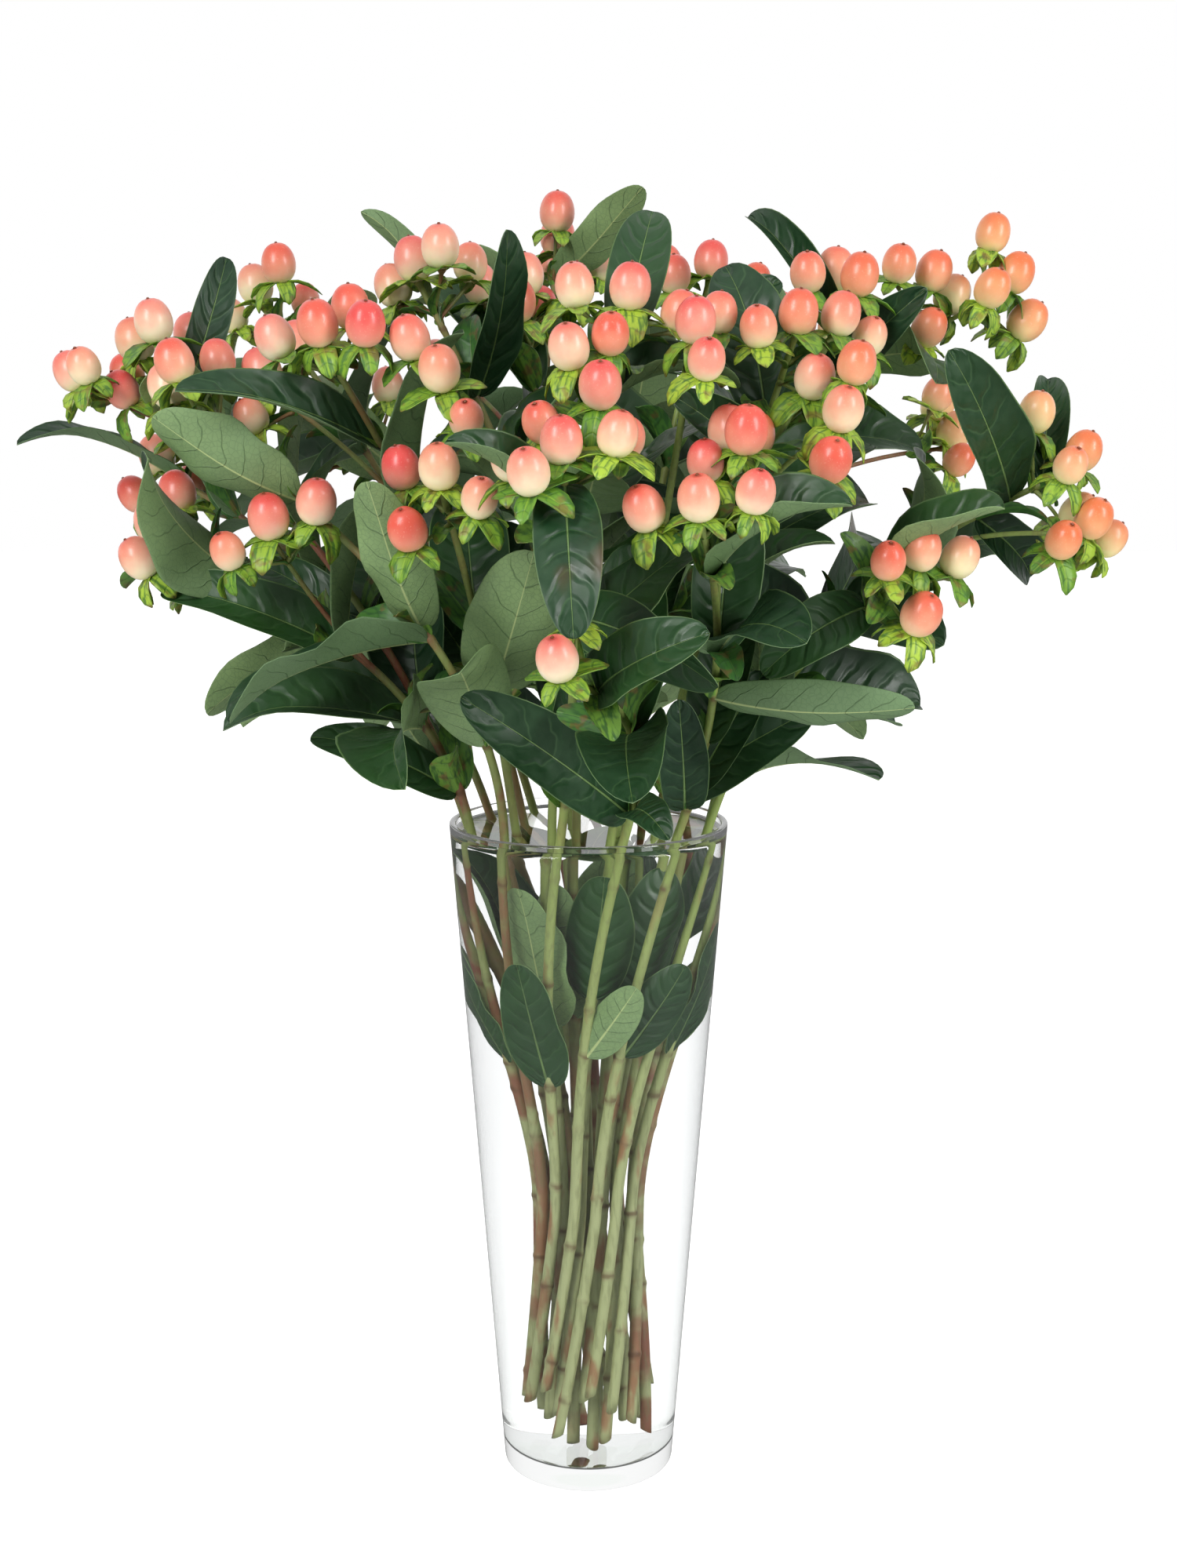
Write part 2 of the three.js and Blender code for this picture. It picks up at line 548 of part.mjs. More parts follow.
// The ways to hold a listed leaf: its tip moved a little where it would meet a neighbour.
function* listedWays(stem, row) {
  const t = 1 + courseAtHeight(stem, row.z);
  const base = rootOn(stem.stalk, t, vec(...row.tip).sub(onStalk(stem, t).at));
  for (const grow of [1, 0.9, 0.8])
    for (const shift of [0, 7, 14, 21])
      for (let k = 0; k < (shift ? 10 : 1); k++) {
        const tip = vec(...row.tip).sub(base).multiplyScalar(grow).add(base);
        const angle = k * 2.4;
        const rise = shift * (1 - 2 * (k + 0.5) / 10);
        const level = Math.sqrt(shift * shift - rise * rise);
        tip.add(vec(level * Math.cos(angle), level * Math.sin(angle), rise));
        const width = row.width * grow;
        const normal = vec(...row.up);
        yield { ...row, base, tip, normal, width, allowed: staysDry };
      }
}

// The ways to hold a leaf of a pair, which leaves the stalk at an angle round it and leans off it by lean.
function* pairWays(stem, t, angle, length, lean, draw) {
  const place = onStalk(stem, t);
  const e1 = squareTo(stem.side, place.along);
  const e2 = place.along.clone().cross(e1);
  const width = length * PAIRS.ratio * draw(0.9, 1.12);
  const fold = draw(8, 34);
  const bend = draw(2, 9);
  const twist = draw(-25, 25);
  const roll = draw(-20, 20);
  for (const grow of [1, 0.85, 0.7])
    for (const tilt of [0, 14, -12, 26])
      for (const swing of [0, 16, -16, 32, -32, 50, -50]) {
        const turned = (angle + swing) * DEGREE;
        const out = e1.clone().multiplyScalar(Math.cos(turned)).addScaledVector(e2, Math.sin(turned));
        const away = (lean + tilt) * DEGREE;
        const axis = place.along.clone().multiplyScalar(Math.cos(away));
        axis.addScaledVector(out, Math.sin(away));
        const tip = place.at.clone().addScaledVector(axis, length * grow);
        const normal = squareTo(place.along, axis).applyAxisAngle(axis, roll * DEGREE);
        const base = rootOn(stem.stalk, t, axis);
        const shape = { width: width * grow, fold, bend, twist };
        yield { base, tip, normal, ...shape, allowed: staysDry };
      }
}

const isDrowned = (spheres) => spheres.every(({ at }) => at.z < WATER_LEVEL - 4);

// The ways to hold a leaf under water, which rises from height z flat to the glass, in the gap between two
// rings of stalks or outside them. Its halves close a little round the bundle.
function* drownedWays(stem, z, draw) {
  const t = heightToT(stem, z);
  const { at, along } = onStalk(stem, t);
  const out = squareTo(vec(at.x, at.y, 0), along);
  const across = out.clone().cross(along);
  const facing = draw(0, 1) < 0.3 ? -1 : 1;
  const fold = -facing * draw(8, 16);
  const ratio = DROWNED.ratio * draw(0.9, 1.1);
  const length = DROWNED.length * draw(0.9, 1.15);
  const base = rootOn(stem.stalk, t, out);
  for (const grow of [1, 0.85, 0.7])
    for (const lean of [9, 14, 5, 20])
      for (const swing of [0, 25, -25, 50, -50, 75, -75])
        for (const roll of [0, 12, -12]) {
          const side = out.clone().multiplyScalar(Math.cos(swing * DEGREE));
          side.addScaledVector(across, Math.sin(swing * DEGREE));
          const away = (lean + Math.abs(swing) / 4) * DEGREE;
          const axis = along.clone().multiplyScalar(Math.cos(away)).addScaledVector(side, Math.sin(away));
          const tip = at.clone().addScaledVector(axis, length * grow).addScaledVector(out, 1.5);
          const normal = out.clone().multiplyScalar(facing).applyAxisAngle(axis, roll * DEGREE);
          const shape = { width: length * grow * ratio, fold, bend: 0, twist: 0 };
          yield { base, tip, normal, ...shape, allowed: isDrowned };
        }
}

// ---- Growing the bunch ----

const stems = makeStems();
const WET_STATIONS = [60, 115, 170, 226, BUNDLE.lip]; // heights
const DRY_STEPS = 5;
const TWIG_STEPS = 3;
const BARE_BASE = 8; // length of a shoot above the lip that bears no leaf
const LEAF_SPACE = 16; // between a listed leaf and the pair of leaves next to it

const steps = (count) => Array.from({ length: count + 1 }, (_, i) => i / count);
const heightToT = (stem, z) => (z - stem.foot) / (BUNDLE.lip - stem.foot);
const stalkRadius = (t) => (t < 1 ? mix(STALK.foot, STALK.lip, t) : mix(STALK.lip, STALK.head, t - 1));

function stalkTube(stem, last, grow = 0) {
  const wet = WET_STATIONS.map((z) => heightToT(stem, z));
  const dry = steps(DRY_STEPS).slice(1).map((u) => 1 + u);
  const stations = [0, ...wet, ...dry].filter((t) => t <= last);
  const course = (t) => onStalk(stem, t);
  return makeTube(course, stations, (t) => stalkRadius(t) + grow, stem.side, STALK.sides);
}

function takeCourse(course, radius, owner) {
  take(steps(70).map((u) => ({ at: course(u).at, radius, root: true })), owner);
}

for (const stem of stems) {
  takeCourse((u) => onStalk(stem, u), STALK.foot + 0.2, stem.index);
  takeCourse((u) => onStalk(stem, 1 + u), STALK.lip + 0.3, stem.index);
  stem.stalk = stalkTube(stem, 2);
  stem.twigs = (stem.shoot ? [stem.shoot] : []).map((shoot) => {
    const root = onStalk(stem, 1 + shoot.u);
    const head = vec(...shoot.head);
    const length = root.at.distanceTo(head);
    const aim = root.at.clone().lerp(head, 0.22).addScaledVector(root.along, 0.28 * length);
    const course = (u) => arc(root.at, aim, head, u);
    const radiusAt = (u) => mix(TWIG.root, TWIG.head, u);
    const tube = makeTube(course, steps(TWIG_STEPS), radiusAt, stem.side, TWIG.sides);
    return { ...shoot, course, tube };
  });
  for (const twig of stem.twigs) takeCourse(twig.course, TWIG.root + 0.4, stem.index);
}

const listed = LEAVES.map((row) => {
  const stem = stems.find(({ name }) => name === row.on);
  const leaf = settleLeaf(stem, listedWays(stem, row));
  return { stem, row, leaf };
});

for (const stem of stems) {
  stem.clusters = [{ tube: stem.stalk, start: 1, row: stem, seed: 100 + stem.index }];
  for (const twig of stem.twigs)
    stem.clusters.push({ tube: twig.tube, start: 0, row: twig, seed: 200 + stem.index });
  for (const group of stem.clusters) {
    group.top = topBerry(stem, group.tube, group.seed);
    take(berrySpheres(group.top), stem.index);
  }
}

for (const stem of stems)
  for (const group of stem.clusters) group.berries = cluster(stem, group);

for (const stem of stems) {
  stem.leaves = listed.filter((entry) => entry.stem === stem && entry.leaf).map(({ leaf }) => leaf);
}

for (const [k, below] of PAIRS.belowHead.entries())
  for (const stem of stems) {
    const draw = lottery(1000 + 10 * stem.index + k);
    const t = 1 + courseBelowHead((u) => onStalk(stem, 1 + u), below + draw(-6, 6));
    const place = onStalk(stem, t);
    if (place.at.z < BUNDLE.lip + BARE_BASE) continue;
    const near = stem.leaves.filter((leaf) => leaf.base.distanceTo(place.at) < LEAF_SPACE).length;
    for (let opposite = 0; opposite < (k > 0 ? 2 : 1) - near; opposite++) {
      const length = (PAIRS.first + PAIRS.grow * k) * draw(0.85, 1.15);
      const angle = stem.index * 37 + 90 * k + 180 * opposite + draw(-10, 10);
      const leaf = settleLeaf(stem, pairWays(stem, t, angle, length, draw(42, 66), draw));
      if (leaf) stem.leaves.push(leaf);
    }
  }

for (const stem of stems) {
  const draw = lottery(3000 + stem.index);
  const height = stem.ring < RINGS[2].radius ? DROWNED.inner : DROWNED.outer;
  const leaf = settleLeaf(stem, drownedWays(stem, height + draw(-8, 8), draw));
  if (leaf) stem.leaves.push({ ...leaf, drowned: true });
}

// ---- Solids ----

// Of the side berries, 7 in 20 are solid, evenly over all clusters.
let sideBerries = 0;
const isSolid = () => sideBerries++ * 7 % 20 < 7;

// A stalk or shoot runs on into the berry at its head, and a pedicel into its own, as one surface each.
function stemSolid(stem) {
  const tubes = [stem.stalk, ...stem.twigs.map(({ tube }) => tube)];
  const meshes = tubes.map(({ rings }, i) => loft([...rings, ...berryRings(stem.clusters[i].top)]));
  for (const berry of stem.clusters.flatMap(({ berries }) => berries).filter(isSolid)) {
    const { rings } = makeTube(berry.pedicel, [0, 0.9], () => PEDICEL.radius, berry.side, PEDICEL.sides);
    meshes.push(loft([...rings, ...berryRings(berry)]));
  }
  for (const leaf of stem.leaves) meshes.push(bladeMesh(leaf));
  return joined(meshes);
}

function latheMesh(profile, sides = VASE.sides) {
  return loft(profile.map(([radius, z]) => {
    if (radius === 0) return [vec(0, 0, z)];
    return ringOfPoints({ at: vec(0, 0, z), along: UP }, vec(1, 0, 0), radius, sides);
  }));
}

const outerRadius = (z) => mix(VASE.footRadius, VASE.mouthRadius, z / VASE.height);
const innerRadius = (z) => outerRadius(z) - VASE.wall;

function vaseSolid() {
  const { height, wall, floor } = VASE;
  const softness = 0.8; // of the polished edges
  return toSolid(latheMesh([
    [0, 0],
    [VASE.footRadius - 1.2, 0],
    [outerRadius(softness), softness],
    [outerRadius(height - softness), height - softness],
    [outerRadius(height) - softness, height],
    [outerRadius(height) - wall + softness, height],
    [innerRadius(height - softness), height - softness],
    [innerRadius(floor + 3), floor + 3],
    [innerRadius(floor) - 3, floor],
    [0, floor],
  ]));
}

const ringAt = (ring, z) => {
  const pinch = z > BUNDLE.waist ? BUNDLE.upperPinch : BUNDLE.lowerPinch;
  return ring.radius * Math.hypot(1, (z - BUNDLE.waist) / pinch);
};

// The hole round the stems of the two inner rings, which stand too close for a hole each. Above the waist
// it widens to the outer ring, because leaves fill the gap between the rings there.
const CORE_SIDES = 12;
const WIDE_ABOVE = 200;
const WEB = 4.2; // from the hole's corners to the middle of the outer stalks
const TO_CORNER = 1 / Math.cos(Math.PI / CORE_SIDES);

function coreRadius(z) {
  if (z > WIDE_ABOVE) return ringAt(RINGS[2], z) - WEB;
  return (ringAt(RINGS[1], z) + STALK.foot + CLEAR) * TO_CORNER;
}

function coreHole() {
  const profile = [VASE.floor, ...WET_STATIONS].map((z) => [coreRadius(z), z]);
  return latheMesh([[0, VASE.floor], ...profile, [0, BUNDLE.lip]], CORE_SIDES);
}

// How far the hole's flat sides are from the axis at height z. They are straight between the stations.
function coreWall(z) {
  const above = WET_STATIONS.findIndex((station) => station > z);
  const [low, high] = [WET_STATIONS[above - 1], WET_STATIONS[above]];
  return mix(coreRadius(low), coreRadius(high), (z - low) / (high - low)) / TO_CORNER;
}

// Whether a drowned leaf lies in that hole and needs none of its own.
const liesInCore = (leaf) =>
  bladeSpheres(leaf).every(({ at }) => Math.hypot(at.x, at.y) + BLADE_GAP < coreWall(at.z));

// The water fills the vase to its level, with plain holes where the stalks and the drowned leaves stand.
function waterSolid() {
  const { floor } = VASE;
  const body = toSolid(latheMesh([
    [0, floor + CLEAR],
    [innerRadius(floor) - 3 - CLEAR, floor + CLEAR],
    [innerRadius(floor + 3) - CLEAR, floor + 3 + CLEAR],
    [innerRadius(WATER_LEVEL) - CLEAR, WATER_LEVEL],
    [0, WATER_LEVEL],
  ]));
  const grow = CLEAR / Math.cos(Math.PI / STALK.sides) + 0.05;
  const isOuter = (stem) => stem.ring > RINGS[1].radius;
  const holes = stems.filter(isOuter).map((stem) => {
    const { rings, places } = stalkTube(stem, 1, grow);
    for (const point of rings[0]) point.addScaledVector(places[0].along, -CLEAR);
    return loft(rings);
  });
  holes.push(coreHole());
  const drowned = stems.flatMap(({ leaves }) => leaves.filter((leaf) => leaf.drowned));
  for (const leaf of drowned.filter((leaf) => !liesInCore(leaf))) holes.push(bladeMesh(leaf, CLEAR + 0.1));
  return oneBody(body.subtract(wasm.Manifold.union(holes.map(toSolid))));
}

// ---- The scene graph ----

function geometryOf(solid) {
  const { vertProperties, triVerts, numProp } = solid.getMesh();
  const points = new Float32Array(vertProperties.length / numProp * 3);
  for (let i = 0; i * numProp < vertProperties.length; i++)
    points.set(vertProperties.subarray(i * numProp, i * numProp + 3), i * 3);
  const geometry = new THREE.BufferGeometry();
  geometry.setAttribute("position", new THREE.BufferAttribute(points, 3));
  geometry.setIndex(new THREE.BufferAttribute(new Uint32Array(triVerts), 1));
  return mergeVertices(geometry, 1e-3);
}

const glass = { color: "#eef3f2", roughness: 0.03, metalness: 0, transparent: true, opacity: 0.25 };
const water = { color: "#e6efe9", roughness: 0.02, metalness: 0, transparent: true, opacity: 0.3 };
const foliage = { color: "#5f7a4a", roughness: 0.55, metalness: 0 };

const bunch = new THREE.Group();

function add(name, solid, look) {
  const mesh = new THREE.Mesh(geometryOf(solid), new THREE.MeshStandardMaterial(look));
  mesh.name = name;
  bunch.add(mesh);
}

add("vase", vaseSolid(), glass);
add("water", waterSolid(), water);
for (const stem of stems) add(`leafy_stem_${stem.name}`, stemSolid(stem), foliage);

export default bunch;
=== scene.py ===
import math
from collections import namedtuple
from itertools import product
from types import SimpleNamespace

import bpy
import numpy as np
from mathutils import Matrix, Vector


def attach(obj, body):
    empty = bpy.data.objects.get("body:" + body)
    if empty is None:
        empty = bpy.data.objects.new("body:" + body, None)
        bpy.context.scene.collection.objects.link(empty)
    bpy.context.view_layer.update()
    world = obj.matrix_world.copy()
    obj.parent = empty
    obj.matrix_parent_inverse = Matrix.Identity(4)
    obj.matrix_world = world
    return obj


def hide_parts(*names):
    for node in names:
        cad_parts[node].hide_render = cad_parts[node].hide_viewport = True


# The looks of a bunch of hypericum stems in berry that stands in a tapered glass vase of water.
# Lengths are in millimetres and angles in degrees until a mesh or a light is made from them.

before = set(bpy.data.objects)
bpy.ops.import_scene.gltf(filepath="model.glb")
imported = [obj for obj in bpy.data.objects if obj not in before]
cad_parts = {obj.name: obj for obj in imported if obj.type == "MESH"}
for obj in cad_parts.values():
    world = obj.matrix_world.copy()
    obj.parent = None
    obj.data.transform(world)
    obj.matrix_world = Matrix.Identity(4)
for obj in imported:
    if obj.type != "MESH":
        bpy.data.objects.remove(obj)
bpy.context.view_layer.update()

MM = 0.001
UP = np.array([0.0, 0.0, 1.0])

# ---- Sizes, as in the solids ----

VASE = SimpleNamespace(height=280, foot_radius=36, mouth_radius=57.5, wall=2.6, floor=9)
WATER_LEVEL = 275
LIP, WAIST, FOOT = 284, 115, 15  # heights at which the bundle's twist is given
UPPER_PINCH, LOWER_PINCH = 51, 120
TWIST_ABOVE, TWIST_BELOW = 35, 45
RINGS = [(3.6, 3), (9.3, 8), (15.2, 13)]  # radius and how many stems stand on it
UNDERFOOT = 0.45  # left below the stems of the inner ring
FEET_FROM, FEET_STEP, FEET_MIX = 12, 1.1, 7  # the other feet end at mixed heights
STALK = SimpleNamespace(foot=2.5, lip=2.3, head=1.5, sides=4, bow=0.45)
TWIG = SimpleNamespace(root=1.4, head=1.15, sides=4, bow=0.22, push=0.28)
WET_STATIONS = [60, 115, 170, 226, LIP]
DRY_STEPS, TWIG_STEPS = 5, 3
SUNK = 0.45  # how deep a root sits, as a share of the way in from a stalk's face
BERRY_WIDTH, BERRY_LENGTH = 15, 17
SEPALS = 5
SEPAL_REACH, SEPAL_DROOP = 8.6, 3.2
CLUSTER = SimpleNamespace(fork=11, fork_step=6, out=17.5, out_step=3, down=3, down_step=8)
PEDICEL_BOW = SimpleNamespace(along=4, out=8, out_step=2)
STANCE = SimpleNamespace(along=0.45, out=0.28, up=0.75)  # which way a berry points
PAIRS_BELOW_HEAD = [36, 82, 128, 174]
PAIR_LENGTH, PAIR_GROWTH, PAIR_RATIO = 64, 6, 0.5
PAIR_TURN = 37  # from the pairs of one stem to those of the next
BARE_BASE, LEAF_SPACE = 8, 16
TIP_MOVES, TIP_TURN = 10, 2.4  # places tried round a tip, and the turn between them in radians
DROWNED_INNER, DROWNED_OUTER = 206, 182  # heights
DROWNED_LENGTH, DROWNED_RATIO = 60, 0.45
DROWNED_INWARD = 0.3  # share of them whose upper face looks at the bundle

# Room that pieces keep: round stalks and shoots, and between two blades.
SPARE = SimpleNamespace(wet=0.2, dry=0.3, twig=0.4)
BLADE_GAP = 1.4
BLADE_ROOM, TIP_ROOM, PEDICEL_ROOM = 1.7, 1.5, 1.6  # radii of spheres
ROOM_ROWS, ROOM_COLUMNS = 5.5, 11  # between the spheres of a blade, at most
ROOT_SHARE = 0.24  # how much of a blade counts as its root
BODY_ROOM = np.array([(0.36, 0.53), (0.66, 0.46)])  # shares of a berry's length, and of its width
LARGEST_ROOM = BERRY_WIDTH * 0.6  # no sphere is larger
COURSE_STEPS = 70  # between the spheres along a stalk's half or a shoot
ABOVE_RIM, BELOW_LEVEL = 2, 4  # room between a dry leaf and the rim, and a wet one and the water's top

# The seeded draws: the numbers of their formula, and where each starts.
MIXER, FACTOR, TERM, WORD = 2654435761, 1664525, 1013904223, 2**32
SEED = SimpleNamespace(head=100, twig=200, pair=1000, drowned=3000, stem=5000, small=6000, small_leaf=7000)

# Each stem: name, place of the top berry, berries in its cluster and how far the cluster is turned. Then
# its side shoot: place of the top berry, berries, turn, and the share of the way to the head where it leaves.
STEMS = [
    ("A", (-178, 0, 466), 5, 40, (-200, -12, 455), 3, 10, 0.72),
    ("B", (-168, -20, 395), 4, 140, (-119, -60, 399), 3, 100, 0.5),
    ("C", (-158, -38, 448), 4, 40),
    ("D", (-98, -68, 470), 4, 10, (-124, -22, 454), 3, 90, 0.6),
    ("E", (-142, 80, 492), 4, 70),
    ("F", (-66, -22, 496), 4, 30, (-53, -78, 454), 3, 160, 0.6),
    ("G", (-53, -95, 419), 4, 150),
    ("H", (-25, 10, 492), 5, 80),
    ("I", (14, -92, 482), 4, 150, (4, -120, 448), 4, 110, 0.68),
    ("J", (-9, -138, 429), 4, 10),
    ("K", (-9, -150, 357), 2, 80),
    ("L", (38, -138, 410), 4, 0, (49, -108, 432), 3, 70, 0.66),
    ("M", (37, -105, 470), 3, 90),
    ("N", (75, -80, 474), 4, 170, (88, -104, 440), 3, 70, 0.6),
    ("O", (100, -50, 489), 5, 150),
    ("P", (133, -8, 493), 4, 150, (166, 0, 493), 4, 100, 0.7),
    ("Q", (190, -25, 424), 5, 10, (191, -38, 399), 3, 20, 0.7),
    ("R", (121, -78, 389), 4, 170),
    ("S", (49, 22, 499), 4, 30),
    ("T", (-14, 105, 514), 4, 90, (-68, 140, 464), 4, 40, 0.55),
    ("U", (-112, 130, 440), 5, 30),
    ("V", (18, 165, 455), 5, 120),
    ("W", (95, 125, 478), 4, 0, (160, 105, 430), 4, 30, 0.55),
    ("Y", (-182, 60, 420), 4, 110),
]
# The leaves that show most: stem, height on the stalk, tip, width, way the upper face looks, fold, bend
# and twist.
LEAVES = [
    ("Y", 415, (-228, 5, 440), 20, (0, -0.25, 1), 25, 6, 0),
    ("C", 414, (-161, -66, 446), 31, (0.2, 1, 0.6), 12, -5, 0),
    ("D", 433, (-146, -88, 457), 24, (0, -0.8, 0.6), 28, 6, 20),
    ("A", 450, (-146, 18, 508), 17, (0.3, -1, 0), 20, 5, 0),
    ("F", 478, (-88, 12, 527), 15, (1, -0.3, 0), 25, 4, 60),
    ("F", 452, (-29, -66, 511), 22, (0.5, -1, 0.2), 15, 5, 20),
    ("T", 503, (23, 64, 542), 20, (-0.2, 0.9, 0.3), 10, -5, 0),
    ("I", 472, (24, -48, 521), 22, (0, -1, 0.3), 10, 4, 0),
    ("O", 478, (62, -14, 524), 18, (0, -1, 0.5), 45, 5, 0),
    ("S", 462, (76, 10, 499), 22, (0, -1, 0.5), 20, 5, 0),
    ("P", 448, (119, -60, 488), 24, (0, -1, 0.2), 28, 6, 0),
    ("Q", 412, (133, -72, 468), 27, (0, -1, 0.3), 12, 5, 0),
    ("Q", 418, (186, 12, 460), 20, (0, -1, 0.6), 40, 4, 0),
    ("R", 378, (150, -96, 412), 30, (0, -0.5, 1), 40, 7, 0),
    ("R", 374, (66, -76, 352), 24, (0, -1, 0.5), 18, 8, 0),
    ("Q", 364, (134, -44, 362), 34, (0, -1, 0.5), 15, 6, 0),
    ("L", 339, (121, -85, 339), 22, (0, 0.9, 0.5), 22, -6, 0),
    ("N", 293, (88, -46, 333), 26, (0.2, -1, 0.5), 15, 6, 0),
    ("L", 300, (65, -40, 340), 20, (0, -1, 0.5), 20, 4, 0),
    ("J", 373, (44, -134, 354), 27, (0.2, -1, 0.3), 22, 10, 70),
    ("J", 422, (-5, -168, 374), 24, (0, -1, 0.1), 12, 8, 0),
    ("J", 397, (-46, -142, 438), 24, (0.3, -0.5, 0.8), 48, 6, 0),
    ("G", 337, (-20, -80, 396), 38, (0, 1, 0.2), 14, -8, 0),
    ("C", 364, (-79, -95, 424), 26, (0.2, 1, 0.2), 15, -6, 0),
    ("Y", 354, (-161, 22, 323), 27, (0, 0.8, 0.6), 15, 8, 0),
    ("B", 352, (-166, -35, 380), 24, (0, -0.8, 0.6), 20, 7, 0),
    ("A", 352, (-136, 16, 386), 21, (0, -1, 0.5), 22, 6, 0),
    ("B", 296, (-108, -34, 322), 21, (0, -0.8, 0.6), 16, 6, 0),
    ("K", 293, (-46, -98, 344), 28, (0, -1, 0.4), 15, 6, 0),
    ("K", 293, (29, -84, 291), 18, (0, -0.8, 0.6), 20, 6, 0),
    ("A", 297, (-88, 26, 342), 21, (0, 0.8, 0.6), 15, -5, 0),
    ("H", 294, (-42, -14, 336), 20, (0, -1, 0.4), 15, 5, 0),
    ("J", 296, (12, -66, 346), 22, (0, -1, 0.2), 20, 5, 0),
    ("L", 292, (34, -70, 340), 20, (0, -1, 0.4), 15, 5, 0),
    ("B", 391, (-181, 10, 390), 15, (0, 0.8, 0.4), 40, 9, 40),
    ("N", 425, (18, -96, 454), 20, (0, -1, 0.3), 20, 6, 0),
    ("Q", 405, (180, 2, 380), 20, (0, -1, 0.4), 20, 6, 0),
]

# ---- Small tools ----


def unit(v):
    return v / np.linalg.norm(v, axis=-1, keepdims=True)


def square_to(vector, along):
    """The part of a vector that is square to a direction, at unit length."""
    return unit(vector - (vector * along).sum(-1, keepdims=True) * along)


def cross_axes(side, along):
    """Two directions square to along and to each other, the first of them as near to side as can be."""
    e1 = square_to(side, along)
    return e1, np.cross(along, e1)


def lerp(a, b, u):
    return a + (b - a) * u


def turned_about(vector, axis, angle):
    """A vector square to an axis, turned about it: v cos a + (axis x v) sin a."""
    a = np.radians(angle)
    return vector * np.cos(a) + np.cross(axis, vector) * np.sin(a)


def lottery(seed):
    """A seeded draw of numbers between two bounds: state = factor state + term, in words of 32 bits."""
    state = (seed + 1) * MIXER % WORD

    def draw(low, high):
        nonlocal state
        state = (FACTOR * state + TERM) % WORD
        return lerp(low, high, state / WORD)

    draw(0, 1)
    draw(0, 1)
    return draw


def arc(a, c, b, u):
    """The parabola a (1-u)^2 + 2 c u (1-u) + b u^2, and its direction, at each u."""
    u = np.asarray(u, float)[..., None]
    at = a * (1 - u) ** 2 + c * (2 * u * (1 - u)) + b * u**2
    return at, unit((c - a) * (1 - u) + (b - c) * u)


def towards(e1, e2, angle):
    """The direction at an angle from e1 on the side of e2, which is square to it."""
    a = math.radians(angle)
    return e1 * math.cos(a) + e2 * math.sin(a)


def ring_points(at, along, side, radius, count, offset=0.0):
    """Circles of points round places: at + radius (e1 cos a + e2 sin a), with e1 and e2 square to along."""
    e1, e2 = cross_axes(side, along)
    a = 2 * np.pi * (np.arange(count) + offset) / count
    radius = np.asarray(radius, float)[..., None, None]
    around = np.cos(a)[:, None] * e1[..., None, :] + np.sin(a)[:, None] * e2[..., None, :]
    return at[..., None, :] + radius * around


# ---- The stalks' courses ----


def place_in_rings(stems):
    """Shares the stems among the rings, the most upright in the core, each ring evenly spaced."""
    left = sorted(stems, key=lambda stem: math.hypot(stem.head[0], stem.head[1]))
    for radius, count in RINGS:
        members, left = left[:count], left[count:]
        azimuth = {stem.name: math.degrees(math.atan2(stem.head[1], stem.head[0])) for stem in members}
        members.sort(key=lambda stem: azimuth[stem.name])
        step = 360 / len(members)
        offset = sum(azimuth[stem.name] - step * i for i, stem in enumerate(members)) / len(members)
        for i, stem in enumerate(members):
            stem.ring = radius
            stem.slot = offset + step * i


def in_bundle(stem, z):
    """A stem's place in the bundle: on a hyperboloid r = ring (1 + ((z - waist) / pinch)^2)^0.5, turned
    about the vase's axis in step with z."""
    z = np.asarray(z, float)
    upper = z > WAIST
    span = np.where(upper, LIP - WAIST, WAIST - FOOT)
    pinch = np.where(upper, UPPER_PINCH, LOWER_PINCH)
    turned = np.where(upper, TWIST_ABOVE, TWIST_BELOW) * (z - WAIST) / span
    radius = stem.ring * np.hypot(1, (z - WAIST) / pinch)
    angle = np.radians(stem.slot - TWIST_ABOVE + turned)
    return np.stack([radius * np.cos(angle), radius * np.sin(angle), z], -1)


def on_stalk(stem, t):
    """The stalk's course: foot to lip through the bundle for t from 0 to 1, then a parabola to the head."""
    t = np.asarray(t, float)
    z = lerp(stem.foot, LIP, np.minimum(t, 1))
    low_along = unit(in_bundle(stem, z + 0.5) - in_bundle(stem, z - 0.5))
    high, high_along = arc(stem.lip, stem.aim, stem.top, np.maximum(t, 1) - 1)
    above = (t > 1)[..., None]
    return np.where(above, high, in_bundle(stem, z)), np.where(above, high_along, low_along)


def make_stems():
    stems = [
        SimpleNamespace(name=name, index=i, head=head, berries=berries, roll=roll, shoot=shoot, leaves=[])
        for i, (name, head, berries, roll, *shoot) in enumerate(STEMS)
    ]
    place_in_rings(stems)
    for stem in stems:
        is_core = stem.ring == RINGS[0][0]
        outer_foot = FEET_FROM + stem.index * FEET_MIX % len(stems) * FEET_STEP
        stem.foot = VASE.floor + UNDERFOOT if is_core else outer_foot
        stem.lip = in_bundle(stem, LIP)
        stem.top = np.array(stem.head, float)
        leaving = unit(stem.lip - in_bundle(stem, LIP - 1))
        stem.aim = stem.lip + leaving * (STALK.bow * np.linalg.norm(stem.lip - stem.top))
        lean = math.atan2(stem.top[1] - stem.lip[1], stem.top[0] - stem.lip[0])
        stem.side = np.array([-math.sin(lean), math.cos(lean), 0])
        stem.course = lambda t, stem=stem: on_stalk(stem, t)
    return stems


HALVINGS, STEPS_DOWN = 30, 60  # to find a height, and to measure a length, on a stalk


def course_at_height(stem, z):
    low, high = 0, 1
    for _ in range(HALVINGS):
        middle = (low + high) / 2
        if on_stalk(stem, 1 + middle)[0][2] < z:
            low = middle
        else:
            high = middle
    return low


